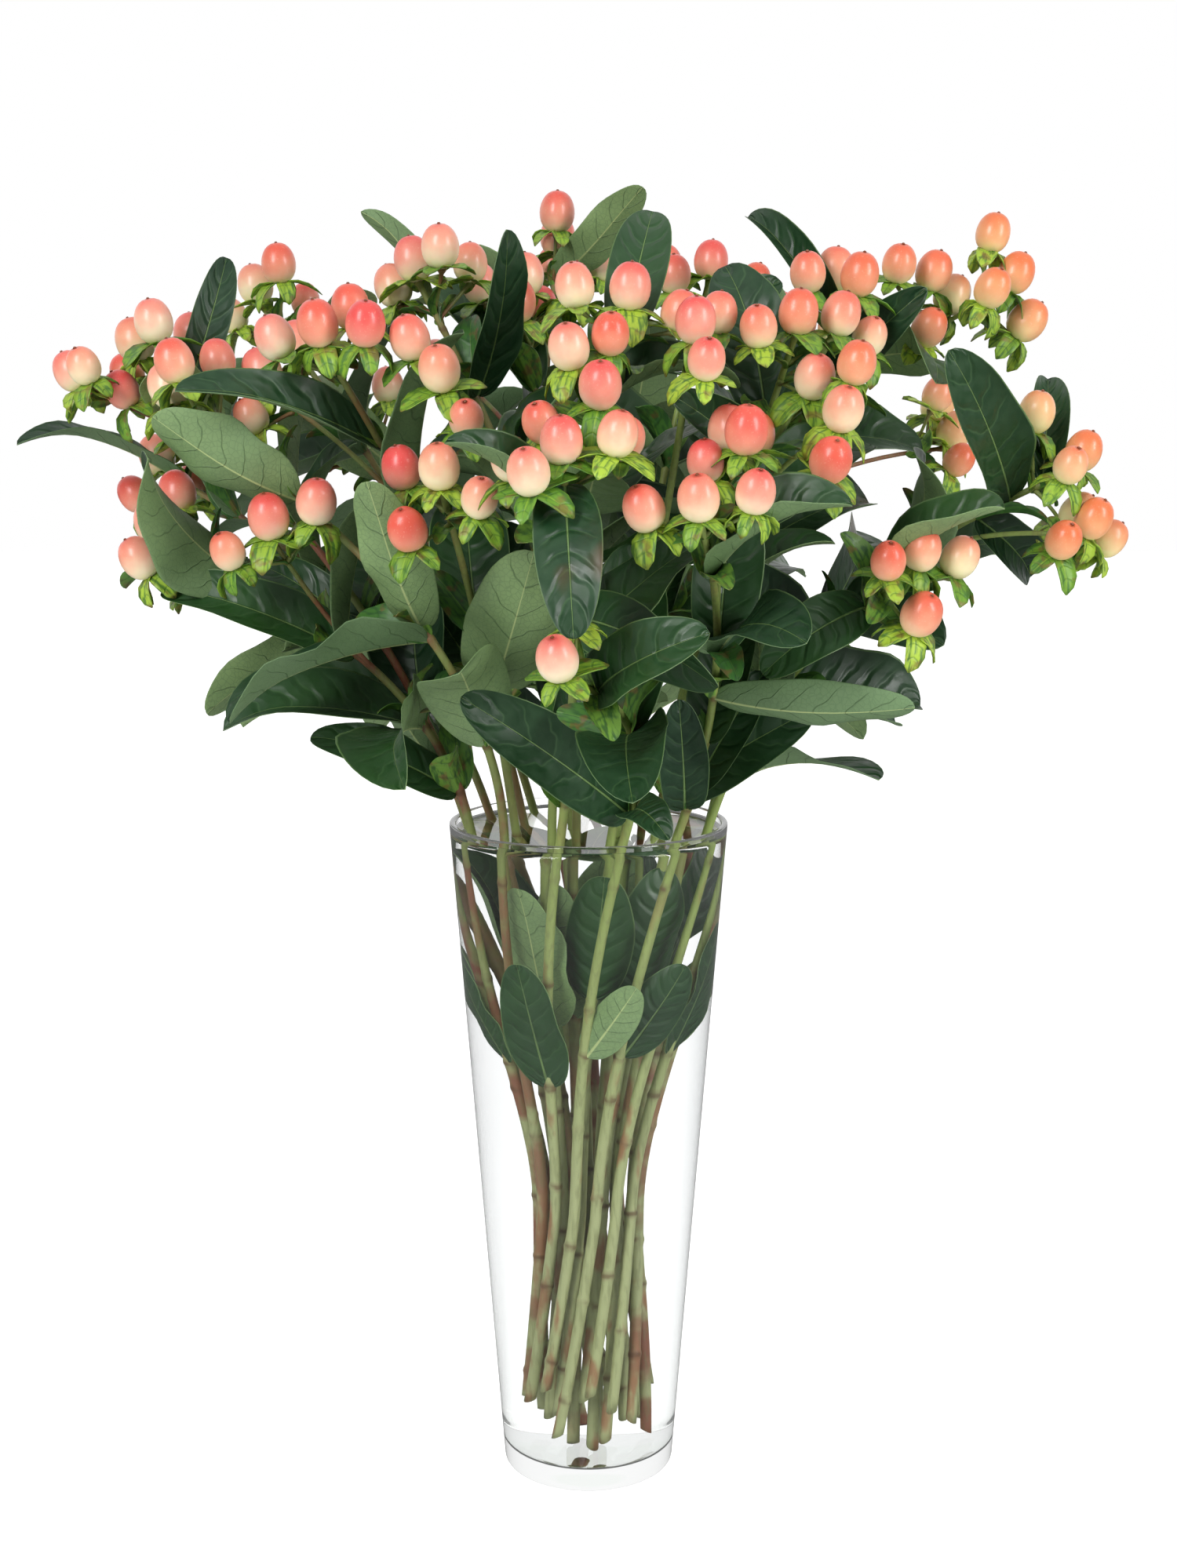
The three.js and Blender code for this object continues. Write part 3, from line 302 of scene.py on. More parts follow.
def course_below_head(course, length):
    """The share of a course that lies a given length below its head, measured step by step."""
    at, _ = course(np.arange(STEPS_DOWN, 0, -1) / STEPS_DOWN)
    done = np.linalg.norm(np.diff(at, axis=0), axis=1).cumsum()
    past = np.nonzero(done > length)[0]
    return (STEPS_DOWN - 1 - past[0]) / STEPS_DOWN if len(past) else 0


def make_tube(course, stations, radii, side, sides):
    """The coarse tube of the solids, which says where roots sit: rings of points at some stations."""
    at, along = course(np.array(stations))
    rings = ring_points(at, along, side, radii, sides)
    return SimpleNamespace(course=course, stations=stations, at=at, rings=rings)


def root_on(tube, t, direction):
    """The root, in the face of a tube turned to a direction, of what leaves the tube at t."""
    before = [i for i, station in enumerate(tube.stations) if station <= t]
    k = min(len(tube.stations) - 2, before[-1] if before else 0)
    share = (t - tube.stations[k]) / (tube.stations[k + 1] - tube.stations[k])
    middle = lerp(tube.at[k], tube.at[k + 1], share)
    edges = (tube.rings[k : k + 2] + np.roll(tube.rings[k : k + 2], -1, axis=1)) / 2
    faces = lerp(edges[0], edges[1], share)
    return lerp(faces[np.argmax((faces - middle) @ direction)], middle, SUNK)


# ---- What stands where: spheres that keep the pieces apart ----


def spheres(at, radius, root=False, blade=False):
    """Rows of x, y, z and radius, and whether each stands for a root and for a blade."""
    at = np.reshape(at, (-1, 3))
    return np.column_stack([at, *(np.broadcast_to(values, len(at)) for values in (radius, root, blade))])


taken = SimpleNamespace(rows=np.empty((0, 7)))  # spheres, each with the number of its stem


def take(new, owner):
    taken.rows = np.concatenate([taken.rows, np.column_stack([new, np.full(len(new), owner)])])


def outer_radius(z):
    return lerp(VASE.foot_radius, VASE.mouth_radius, z / VASE.height)


def touches_glass(new):
    away, z, radius = np.hypot(new[:, 0], new[:, 1]), new[:, 2], new[:, 3]
    outer = outer_radius(z)
    low = z <= VASE.height + radius
    return (low & (away < outer + radius) & (away > outer - VASE.wall - radius)).any()


def is_clear(new, owner):
    """Whether spheres stand clear of the glass and of all that is taken, but for roots on their own stem."""
    if touches_glass(new):
        return False
    at, radius, root, blade = new[:, :3], new[:, 3, None], new[:, 4, None] > 0, new[:, 5, None] > 0
    reach = radius.max() + LARGEST_ROOM + BLADE_GAP
    centres = taken.rows[:, :3]
    near = taken.rows[((centres > at.min(0) - reach) & (centres < at.max(0) + reach)).all(1)]
    apart = radius + near[:, 3] + BLADE_GAP * (blade & (near[:, 5] > 0))
    excused = (root | (near[:, 4] > 0)) & (near[:, 6] == owner)
    gaps = at[:, None] - near[:, :3]
    return not (((gaps**2).sum(-1) < apart**2) & ~excused).any()


def anywhere(at):
    return True


def settle(stem, ways, room_of, allowed=anywhere):
    """The first of some ways to hold a berry or a leaf in which it stands clear, or nothing."""
    for way in ways:
        room = room_of(way)
        if allowed(room[:, :3]) and is_clear(room, stem.index):
            take(room, stem.index)
            return way
    return None


# ---- Where the berries sit ----


def berry_room(berry):
    body = berry.base + berry.axis * (BERRY_LENGTH * berry.size * BODY_ROOM[:, :1])
    calyx = berry.base - berry.axis * (SEPAL_DROOP * berry.size)
    tips = ring_points(calyx, berry.axis, berry.side, SEPAL_REACH * berry.size - 1, SEPALS, 0.5)
    return np.concatenate([
        spheres(body, BERRY_WIDTH * berry.size * BODY_ROOM[:, 1]),
        spheres(tips, TIP_ROOM, root=True),
        spheres(berry.pedicel(np.array([0.3, 0.6, 0.9]))[0], PEDICEL_ROOM, root=True),
    ])


def side_berry_ways(stem, group, i, draw):
    """The ways to hold a side berry of a cluster, each a little turned, lowered or pushed out."""
    course = lambda u: group.tube.course(group.start + u)
    head, along = course(1)
    e1, e2 = cross_axes(stem.side, along)
    pair = i // 2
    size, wander, lift = draw(0.88, 1.06), draw(-8, 8), draw(-2, 2)
    fork = course_below_head(course, CLUSTER.fork + CLUSTER.fork_step * pair)
    for stretch, swing, drop in product([1, 1.2, 0.92, 1.4], [0, 14, -14, 28, -28, 42, -42], [0, 5, -4]):
        out = towards(e1, e2, group.roll + 90 * pair + 180 * (i % 2) + wander + swing)
        down = CLUSTER.down + CLUSTER.down_step * pair + drop - lift
        base = head - along * down + out * ((CLUSTER.out + CLUSTER.out_step * pair) * stretch)
        root = root_on(group.tube, group.start + fork, out)
        aim = root + along * PEDICEL_BOW.along + out * (PEDICEL_BOW.out + PEDICEL_BOW.out_step * pair)
        axis = unit(along * STANCE.along + out * STANCE.out + UP * STANCE.up)
        pedicel = lambda u, a=root, c=aim, b=base: arc(a, c, b, u)
        seat = dict(base=base, axis=axis, side=e1, out=out, root=root, along=along)
        yield SimpleNamespace(size=size, pedicel=pedicel, **seat)


def side_berries(stem, group):
    draw = lottery(group.seed)
    ways = (side_berry_ways(stem, group, i, draw) for i in range(group.berries - 1))
    return [berry for berry in (settle(stem, some, berry_room) for some in ways) if berry]


def top_berry(stem, group):
    at, along = group.tube.course(group.tube.stations[-1])
    return SimpleNamespace(
        base=at, axis=unit(along * STANCE.along + UP * STANCE.up), side=square_to(stem.side, along),
        size=lottery(group.seed)(0.96, 1.08), pedicel=group.tube.course,
    )


# ---- Where the leaves sit ----

# A leaf: where it starts and ends, the way its upper face looks, its width, how far its halves close, how
# far its midrib bows, how far it turns from foot to tip, where on the stalk it grows, and if under water.
Leaf = namedtuple("Leaf", "base tip normal width fold bend twist t is_wet", defaults=(0, False))


def outline(v):
    """Half the width of a blade as a share of its most: v^0.4 (1-v)^0.45, broad with a blunt tip."""
    return 1.8 * v**0.4 * (1 - v) ** 0.45


def blade_frame(leaf, v):
    """The midrib at each v: where it is, the way the upper face looks, and the way across."""
    v = np.asarray(v, float)[..., None]
    chord = leaf.tip - leaf.base
    flat = square_to(leaf.normal, unit(chord))
    at = leaf.base + chord * v + flat * (4 * v * (1 - v) * leaf.bend)
    along = unit(chord + flat * (4 * (1 - 2 * v) * leaf.bend))
    facing = turned_about(square_to(flat, along), along, leaf.twist * v)
    return at, facing, np.cross(along, facing), flat


def leaf_room(leaf):
    rows = math.ceil(np.linalg.norm(leaf.base - leaf.tip) / ROOM_ROWS)
    columns = math.ceil(leaf.width / ROOM_COLUMNS)
    v = np.repeat(np.arange(1, rows + 1) / rows, 2 * columns + 1)
    c = np.tile(np.arange(-columns, columns + 1) / columns, rows)
    at, facing, side, _ = blade_frame(leaf, v)
    half = (leaf.width / 2 * outline(v) * c)[:, None]
    fold = math.radians(leaf.fold)
    at = at + side * half * math.cos(fold) + facing * abs(half) * math.sin(fold)
    return spheres(at, BLADE_ROOM, root=v < ROOT_SHARE, blade=True)


def stays_dry(at):
    outside = np.hypot(at[:, 0], at[:, 1]) > VASE.mouth_radius
    return ((at[:, 2] > VASE.height + ABOVE_RIM) | outside).all()


def is_drowned(at):
    return (at[:, 2] < WATER_LEVEL - BELOW_LEVEL).all()


def add_leaf(stem, ways, allowed=stays_dry):
    leaf = settle(stem, ways, leaf_room, allowed)
    if leaf:
        stem.leaves.append(leaf)


def listed_ways(stem, z, tip, width, up, fold, bend, twist):
    """The ways to hold a listed leaf, its tip moved a little where it would meet a neighbour."""
    t = 1 + course_at_height(stem, z)
    tip = np.array(tip, float)
    base = root_on(stem.stalk, t, tip - on_stalk(stem, t)[0])
    for grow, shift in product([1, 0.9, 0.8], [0, 7, 14, 21]):
        for k in range(TIP_MOVES if shift else 1):
            rise = shift * (1 - 2 * (k + 0.5) / TIP_MOVES)
            level = math.sqrt(shift * shift - rise * rise)
            moved = np.array([level * math.cos(k * TIP_TURN), level * math.sin(k * TIP_TURN), rise])
            end = (tip - base) * grow + base + moved
            yield Leaf(base, end, np.array(up, float), width * grow, fold, bend, twist, t)


def pair_ways(stem, t, angle, length, lean, draw):
    """The ways to hold a leaf of a pair, which leaves the stalk at an angle round it and leans off it."""
    at, along = on_stalk(stem, t)
    e1, e2 = cross_axes(stem.side, along)
    width = length * PAIR_RATIO * draw(0.9, 1.12)
    fold, bend, twist, roll = draw(8, 34), draw(2, 9), draw(-25, 25), draw(-20, 20)
    for grow, tilt, swing in product([1, 0.85, 0.7], [0, 14, -12, 26], [0, 16, -16, 32, -32, 50, -50]):
        axis = towards(along, towards(e1, e2, angle + swing), lean + tilt)
        normal = turned_about(square_to(along, axis), axis, roll)
        tip = at + axis * (length * grow)
        yield Leaf(root_on(stem.stalk, t, axis), tip, normal, width * grow, fold, bend, twist, t)


def drowned_ways(stem, z, draw):
    """The ways to hold a leaf under water, which rises from height z flat to the glass, in the gap between
    two rings of stalks or outside them. Its halves close a little round the bundle."""
    t = height_to_t(stem, z)
    at, along = on_stalk(stem, t)
    out = square_to(at * [1, 1, 0], along)
    across = np.cross(out, along)
    facing = -1 if draw(0, 1) < DROWNED_INWARD else 1
    fold = -facing * draw(8, 16)
    ratio = DROWNED_RATIO * draw(0.9, 1.1)
    length = DROWNED_LENGTH * draw(0.9, 1.15)
    base = root_on(stem.stalk, t, out)
    turns = [0, 25, -25, 50, -50, 75, -75]
    for grow, lean, swing, roll in product([1, 0.85, 0.7], [9, 14, 5, 20], turns, [0, 12, -12]):
        axis = towards(along, towards(out, across, swing), lean + abs(swing) / 4)
        tip = at + axis * (length * grow) + out * 1.5
        normal = turned_about(out * facing, axis, roll)
        yield Leaf(base, tip, normal, length * grow * ratio, fold, 0, 0, t, True)


# ---- Growing the bunch, in the order in which the solids grow ----


def height_to_t(stem, z):
    return (z - stem.foot) / (LIP - stem.foot)


def stalk_radius(t):
    return np.where(t < 1, lerp(STALK.foot, STALK.lip, t), lerp(STALK.lip, STALK.head, t - 1))


def take_course(course, radius, owner):
    at, _ = course(np.arange(COURSE_STEPS + 1) / COURSE_STEPS)
    take(spheres(at, radius, root=True), owner)


def grow_stalk(stem):
    """Makes the stalk and the side shoot, each the tube that carries one cluster."""
    take_course(stem.course, STALK.foot + SPARE.wet, stem.index)
    take_course(lambda u: stem.course(1 + u), STALK.lip + SPARE.dry, stem.index)
    wet = [height_to_t(stem, z) for z in WET_STATIONS]
    stations = [0, *wet, *[1 + (i + 1) / DRY_STEPS for i in range(DRY_STEPS)]]
    radii = stalk_radius(np.array(stations))
    stem.stalk = make_tube(stem.course, stations, radii, stem.side, STALK.sides)
    whole = dict(tube=stem.stalk, start=1, berries=stem.berries, roll=stem.roll)
    stem.clusters = [SimpleNamespace(seed=SEED.head + stem.index, **whole)]
    if not stem.shoot:
        return
    head, berries, roll, u = stem.shoot
    root, along = stem.course(1 + u)
    head = np.array(head, float)
    aim = lerp(root, head, TWIG.bow) + along * (TWIG.push * np.linalg.norm(root - head))
    course = lambda u: arc(root, aim, head, u)
    stations = np.arange(TWIG_STEPS + 1) / TWIG_STEPS
    tube = make_tube(course, stations, lerp(TWIG.root, TWIG.head, stations), stem.side, TWIG.sides)
    shoot = dict(tube=tube, start=0, berries=berries, roll=roll)
    stem.clusters.append(SimpleNamespace(seed=SEED.twig + stem.index, **shoot))
    take_course(course, TWIG.root + SPARE.twig, stem.index)


def grow_pairs(stem, k, below):
    """Adds the leaves of the pair that stands a length below the head, every pair square to the last."""
    draw = lottery(SEED.pair + 10 * stem.index + k)
    t = 1 + course_below_head(lambda u: stem.course(1 + u), below + draw(-6, 6))
    at, _ = stem.course(t)
    if at[2] < LIP + BARE_BASE:
        return
    near = sum(np.linalg.norm(leaf.base - at) < LEAF_SPACE for leaf in stem.leaves)
    for opposite in range((2 if k > 0 else 1) - near):
        length = (PAIR_LENGTH + PAIR_GROWTH * k) * draw(0.85, 1.15)
        angle = stem.index * PAIR_TURN + 90 * k + 180 * opposite + draw(-10, 10)
        add_leaf(stem, pair_ways(stem, t, angle, length, draw(42, 66), draw))


def grow_bunch():
    stems = make_stems()
    by_name = {stem.name: stem for stem in stems}
    for stem in stems:
        grow_stalk(stem)
    for on, *row in LEAVES:
        add_leaf(by_name[on], listed_ways(by_name[on], *row))
    for stem in stems:
        for group in stem.clusters:
            group.top = top_berry(stem, group)
            take(berry_room(group.top), stem.index)
    for stem in stems:
        for group in stem.clusters:
            group.side_berries = side_berries(stem, group)
    for k, below in enumerate(PAIRS_BELOW_HEAD):
        for stem in stems:
            grow_pairs(stem, k, below)
    for stem in stems:
        draw = lottery(SEED.drowned + stem.index)
        z = DROWNED_INNER if stem.ring < RINGS[2][0] else DROWNED_OUTER
        add_leaf(stem, drowned_ways(stem, z + draw(-8, 8), draw), is_drowned)
    return stems


stems = grow_bunch()

# ---- Surfaces ----


def part(points, quads, triangles=(), finish=0, **marks):
    """A closed bit of surface: its points, faces, finish per face, and the marks its material reads."""
    return SimpleNamespace(
        points=np.asarray(points, float), quads=np.reshape(quads, (-1, 4)).astype(int),
        triangles=np.reshape(triangles, (-1, 3)).astype(int), finish=finish, marks=marks,
    )


def ring_quads(rows, count):
    """The faces between rings of a grid, facing out where the rings turn left round the way of the rows."""
    i, j = np.meshgrid(np.arange(rows - 1), np.arange(count), indexing="ij")
    a, b = i * count + j, i * count + (j + 1) % count
    return np.stack([a, b, b + count, a + count], -1).reshape(-1, 4)


def capped_tube(rings, **marks):
    """Rings (rows, count, 3) closed by a fan at each end, round the middle of the end ring."""
    rows, count, _ = rings.shape
    points = np.concatenate([rings.reshape(-1, 3), [rings[0].mean(0), rings[-1].mean(0)]])
    j = np.arange(count)
    k = (j + 1) % count
    first, last = np.full(count, rows * count), np.full(count, rows * count + 1)
    low = np.stack([k, j, first], -1)
    high = np.stack([j, k], -1) + (rows - 1) * count
    triangles = np.concatenate([low, np.column_stack([high, last])])
    spread = {
        name: np.concatenate([np.repeat(values, count), [values[0], values[-1]]])
        for name, values in marks.items()
    }
    return part(points, ring_quads(rows, count), triangles, **spread)


def sheet(upper, lower, **marks):
    """A thin blade: two grids (rows, columns, 3) closed along the rim. Faces of the lower grid and the
    rim take finish 1. Marks are grids of the same rows and columns, alike on both sides."""
    rows, columns, _ = upper.shape
    count = 2 * columns
    points = np.concatenate([upper, lower[:, ::-1]], axis=1).reshape(-1, 3)
    quads = ring_quads(rows, count)
    under = np.tile(np.arange(count) >= columns - 1, rows - 1)
    # Both grids' faces are cut along the same diagonals, so that a bent blade's sides never cross.
    quads[under] = np.roll(quads[under], -1, axis=1)
    j = np.arange(columns - 1)
    k = count - 1 - j
    start = np.stack([j, k, k - 1, j + 1], -1)
    end = start[:, ::-1] + (rows - 1) * count
    finish = np.concatenate([under, np.ones(2 * (columns - 1), bool)]).astype(int)
    spread = {
        name: np.concatenate([grid, grid[:, ::-1]], axis=1).reshape(-1, *grid.shape[2:])
        for name, grid in marks.items()
    }
    return part(points, np.concatenate([quads, start, end]), finish=finish, **spread)


def put(name, data):
    """An object of a mesh, a light or a camera, in the scene."""
    thing = bpy.data.objects.new(name, data)
    bpy.context.scene.collection.objects.link(thing)
    return thing


def make_piece(name, parts, materials, slot, *nodes):
    """Puts parts into one mesh at the origin, in metres, with smooth faces and their marks as attributes."""
    starts = np.cumsum([0] + [len(p.points) for p in parts])
    quads = np.concatenate([p.quads + s for p, s in zip(parts, starts)])
    triangles = np.concatenate([p.triangles + s for p, s in zip(parts, starts)])
    finish = [np.broadcast_to(p.finish, len(p.quads)) for p in parts]
    finish += [np.zeros(len(p.triangles), int) for p in parts]
    corners = np.concatenate([quads.ravel(), triangles.ravel()])
    sizes = np.concatenate([np.full(len(quads), 4), np.full(len(triangles), 3)])
    mesh = bpy.data.meshes.new(name)
    mesh.vertices.add(starts[-1])
    mesh.vertices.foreach_set("co", (np.concatenate([p.points for p in parts]) * MM).ravel())
    mesh.loops.add(len(corners))
    mesh.loops.foreach_set("vertex_index", corners)
    mesh.polygons.add(len(sizes))
    mesh.polygons.foreach_set("loop_start", np.cumsum(sizes) - sizes)
    mesh.polygons.foreach_set("material_index", np.concatenate(finish))
    mesh.polygons.foreach_set("use_smooth", np.ones(len(sizes), bool))
    mesh.update(calc_edges=True)
    for mark in parts[0].marks:
        values = np.concatenate([
            np.broadcast_to(p.marks[mark], (len(p.points), *np.shape(p.marks[mark])[1:])) for p in parts
        ])
        kind = "FLOAT_VECTOR" if values.ndim > 1 else "FLOAT"
        field = "vector" if values.ndim > 1 else "value"
        mesh.attributes.new(mark, kind, "POINT").data.foreach_set(field, values.ravel())
    for material in materials:
        mesh.materials.append(material)
    piece = put(name, mesh)
    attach(piece, "root")
    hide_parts(*nodes)


# ---- Stalks, shoots and pedicels ----

ROUND = 0.8  # a round stalk's radius as a share of the corner radius of its square solid
SCAR_GAP = 52  # between the leaf scars of the bare stalk
STALK_SIDES, TWIG_SIDES, PEDICEL_SIDES = 12, 10, 8
ROW_STEP, LEAST_STEP = 5.5, 0.35  # between the rings of points along a stalk
KNOT_ROWS = (-3.2, -1.4, -0.5, 0.5, 1.4, 3.2)  # rings round a knot, from its middle
CALYX_ROWS = np.array([2.5, 1.2, 0.0])  # rings at the head, from its end
KNOT_SWELL, CALYX_SWELL, TWIG_SWELL = 0.2, 0.5, 0.7
FIRST_SCAR, BARE_FOOT = (8, 34), 12  # scars start this far below the lip and end this far above the foot
CUT_SLANT = (0.8, 0.3)  # how far the end ring and the next one slant, as shares of the radius
PEDICEL = SimpleNamespace(radius=0.78, fork_swell=0.35, calyx_swell=1.1)


def swelling(distance, reach):
    return np.exp(-((distance / reach) ** 2))


def stalk_part(stem, draw, tint):
    """The stalk: a round tube along its course whose radius swells in a ring at each pair of leaves and at
    each old leaf scar, ends in a slanting cut at the foot and widens into the calyx at the head."""
    t = np.linspace(0, 2, 2001)
    length = np.append(0, np.linalg.norm(np.diff(stem.course(t)[0], axis=0), axis=1).cumsum())
    draw(0, 1)  # one draw is passed over
    first_scar = LIP - draw(*FIRST_SCAR)
    scar_z = np.arange(first_scar, stem.foot + BARE_FOOT, -SCAR_GAP * draw(0.85, 1.15))
    knots = [leaf.t for leaf in stem.leaves] + [height_to_t(stem, z) for z in scar_z]
    knots = np.interp(knots, t, length)
    around = [knots + step for step in KNOT_ROWS]
    rows = np.concatenate([np.arange(0, length[-1], ROW_STEP), *around, length[-1] - CALYX_ROWS])
    rows = np.unique(np.round(np.clip(rows, 0, length[-1]), 1))
    rows = rows[np.append(True, np.diff(rows) > LEAST_STEP)]
    u = np.interp(rows, length, t)
    knot = np.minimum(sum(swelling(rows - middle, 1.5) for middle in knots), 1)
    radius = stalk_radius(u) * ROUND * (1 + KNOT_SWELL * knot)
    radius += CALYX_SWELL * swelling(rows - length[-1], 1.6)
    at, along = stem.course(u)
    rings = ring_points(at, along, stem.side, radius, STALK_SIDES)
    heel = (np.cos(2 * np.pi * np.arange(STALK_SIDES) / STALK_SIDES) + 1)[:, None]
    for i, slant in enumerate(CUT_SLANT):
        rings[i] += along[i] * heel * radius[0] * slant
    # how far below the lip, as a share of its height: there the bark is painted paler, which is painted
    # light, and takes more brown patches
    below = np.clip((LIP - at[:, 2]) / LIP, 0, 1)
    return capped_tube(rings, scar=knot, tint=np.full(len(u), tint), age=below)


def plain_tube(course, stations, radii, side, sides, tint):
    at, along = course(stations)
    rings = ring_points(at, along, side, radii, sides)
    same = np.ones(len(stations))
    return capped_tube(rings, scar=same * 0, tint=same * tint, age=same * 0)


def shoot_parts(stem, draw):
    """All the wood of a stem: stalk, side shoot and one pedicel to each side berry."""
    tint = draw(0, 1)
    parts = [stalk_part(stem, draw, tint)]
    for group in stem.clusters[1:]:
        u = np.concatenate([np.linspace(0, 0.97, 16), [0.985, 1.0]])
        radii = lerp(TWIG.root, TWIG.head, u) * ROUND + TWIG_SWELL * swelling(1 - u, 0.02)
        parts.append(plain_tube(group.tube.course, u, radii, stem.side, TWIG_SIDES, tint))
    for berry in [berry for group in stem.clusters for berry in group.side_berries]:
        u = np.array([0, 0.15, 0.35, 0.55, 0.75, 0.9, 0.97, 1.0])
        radii = PEDICEL.radius + PEDICEL.fork_swell * swelling(u, 0.12)
        radii += PEDICEL.calyx_swell * swelling(1 - u, 0.07)
        tone = np.clip(tint + draw(-0.2, 0.35), 0, 1)
        parts.append(plain_tube(berry.pedicel, u, radii, berry.side, PEDICEL_SIDES, tone))
    return parts


# ---- Berries ----

BERRY_ROWS, BERRY_SIDES = 14, 22
PEACH_FROM, PEACH_TO = 20, 170  # the stems on the right bear more orange berries
LOBES = (0.012, 0.045)
STUB_RIPE = [1.3, 1.5]  # marks the stub for the skin's colour


def berry_part(berry, draw):
    """A berry: round its axis at polar angle p the radius is half a width times sin(p)^0.85 (1 + 0.05 cos p),
    pinched a little into lobes by 1 + k cos(3a), and the tip carries the stub of the dried styles."""
    p = np.linspace(0.16, math.pi - 0.07, BERRY_ROWS)
    length, half = BERRY_LENGTH * berry.size, BERRY_WIDTH / 2 * berry.size
    height = (0.5 - 0.5 * np.cos(p)) * length
    radius = half * 0.97 * np.sin(p) ** 0.85 * (1 + 0.05 * np.cos(p))
    height = np.append(height, [length * 0.995, length + 0.45])
    radius = np.append(radius, [0.75, 0.4])
    at = berry.base + berry.axis * height[:, None]
    rings = ring_points(at, berry.axis, berry.side, radius, BERRY_SIDES, draw(0, 1))
    a = 2 * np.pi * np.arange(BERRY_SIDES) / BERRY_SIDES
    lobes = draw(*LOBES) * np.cos(3 * a + draw(0, 6.3)) * (0.3 + np.cos(p[:, None]) ** 2)
    middle = at[:BERRY_ROWS, None]
    rings[:BERRY_ROWS] = middle + (rings[:BERRY_ROWS] - middle) * (1 + lobes)[..., None]
    ripe = np.append(np.linspace(0, 1, BERRY_ROWS), STUB_RIPE)
    same = np.ones(len(ripe))
    peach = np.clip((berry.base[0] - PEACH_FROM) / (PEACH_TO - PEACH_FROM), 0, 1) ** 1.5
    tint = np.clip(peach * 0.9 + draw(-0.1, 0.35), 0, 1)
    return capped_tube(rings, ripe=ripe, tint=same * tint, seed=same * draw(0, 1))


# ---- Leaves, bracts and sepals ----

LEAF_V = 0.5 - 0.5 * np.cos(np.pi * np.linspace(0, 1, 20))
LEAF_C = np.array([-1, -0.96, -0.7, -0.38, -0.08, 0, 0.08, 0.38, 0.7, 0.96, 1])
BLADE, THIN_BLADE = 0.22, 0.16  # half their thickness
RIB, GROOVE, KEEL = 0.9, 0.18, 0.6  # of the midrib: its reach to each side, depth above, height below
WAVES, WAVE_DEPTH = (1.1, 2.3), 0.095  # how many along an edge, and how deep as a share of the width
CURL, NOD = (-0.05, 0.11), (-0.02, 0.12)  # shares of the width and of the length
SEPAL_V = np.array([0, 0.14, 0.36, 0.6, 0.84, 1.0])
SEPAL_C = np.array([1, 0.5, 0, -0.5, -1])  # from left to right, so that the faces look out
SEPAL_LENGTH, SEPAL_WIDTH = 15.0, (0.46, 0.64)
LIMP, UNEVEN = (20, 88), 28  # how far a calyx hangs, and how much its sepals differ
BRACT_LENGTHS, BRACT_LEAN = [(12, 18), (16, 26)], 58
YOUNG_LENGTH, YOUNG_LEAN = (20, 36), (28, 50)


def leaf_part(leaf, draw, thick=BLADE):
    """A leaf: across its midrib the halves rise by a fold that grows towards the edge, the edges wave as
    sin(2 pi (n v + phase)) and may curl, and the tip nods. The midrib is a groove above, a keel below."""
    v, c = LEAF_V[:, None], LEAF_C[None, :]
    at, facing, side, flat = blade_frame(leaf, LEAF_V)
    blunt = np.maximum(outline(LEAF_V), np.where(LEAF_V < 0.5, 1.5, 0.5) / leaf.width)
    x = leaf.width / 2 * blunt[:, None] * c
    fold = math.radians(leaf.fold)
    rise = abs(x) * math.sin(fold) * (0.5 + 0.5 * abs(c))
    reach = np.sin(np.pi * v)
    for sign in (-1, 1):
        phase, waves, depth = draw(0, 1), draw(*WAVES), draw(0.25, 1) * WAVE_DEPTH * leaf.width
        edge = np.clip(sign * c, 0, 1) ** 1.6
        rise = rise + depth * edge * np.sin(2 * np.pi * (waves * v + phase)) * reach
    curl = draw(*CURL) * leaf.width
    rise = rise + curl * np.clip(abs(c) - 0.4, 0, 1) ** 2 * reach * 4
    size = np.linalg.norm(leaf.tip - leaf.base)
    nod = draw(*NOD) * size * np.clip((LEAF_V - 0.66) / 0.34, 0, 1) ** 2
    middle = (at - flat * nod[:, None])[:, None] + side[:, None] * (x * math.cos(fold))[..., None]
    middle = middle + facing[:, None] * rise[..., None]
    body = thick * (1 - 0.35 * abs(c)) * np.ones_like(v)
    rib = swelling(x, RIB) * (1 - 0.75 * v)
    upper = middle + facing[:, None] * (body - GROOVE * rib)[..., None]
    lower = middle - facing[:, None] * (body + KEEL * rib)[..., None]
    return marked_sheet(upper, lower, x, v * size, c, v, draw(0, 1))


def marked_sheet(upper, lower, x, run, c, v, tint):
    """A blade with its marks: shares c across and v along it, the same in millimetres, and its tint."""
    ones = np.ones_like(x)
    blade = np.stack([x, run * ones, ones * tint * 100], -1)
    return sheet(upper, lower, across=c * ones, along=v * ones, blade=blade, tint=ones * tint)


def sepal_part(berry, angle, length, width, hang, tint):
    """A sepal: a small blade whose midrib leaves the calyx level and bends down, its slope going evenly
    from start to end, with rounded sides and a short point."""
    out = towards(*cross_axes(berry.side, berry.axis), angle)
    across = np.cross(out, berry.axis)
    v, c = SEPAL_V[:, None], SEPAL_C
    slope = np.radians(lerp(-8, hang, v**0.8))
    step = np.diff(v, axis=0, prepend=0)
    away = 0.9 + length * (np.cos(slope) * step).cumsum(0)
    down = length * (np.sin(slope) * step).cumsum(0) - 0.5
    x = width / 2 * np.maximum(1.92 * v**0.42 * (1 - v) ** 0.52, 0.07) * c
    dish = 0.16 * width * c**2 * np.sin(np.pi * v)
    normal = (berry.axis * np.cos(slope) + out * np.sin(slope))[:, None]
    middle = (berry.base + out * away - berry.axis * down)[:, None]
    middle = middle + across * x[..., None] + normal * dish[..., None]
    lift = normal * THIN_BLADE
    return marked_sheet(middle + lift, middle - lift, x, v * length, c, v, tint)


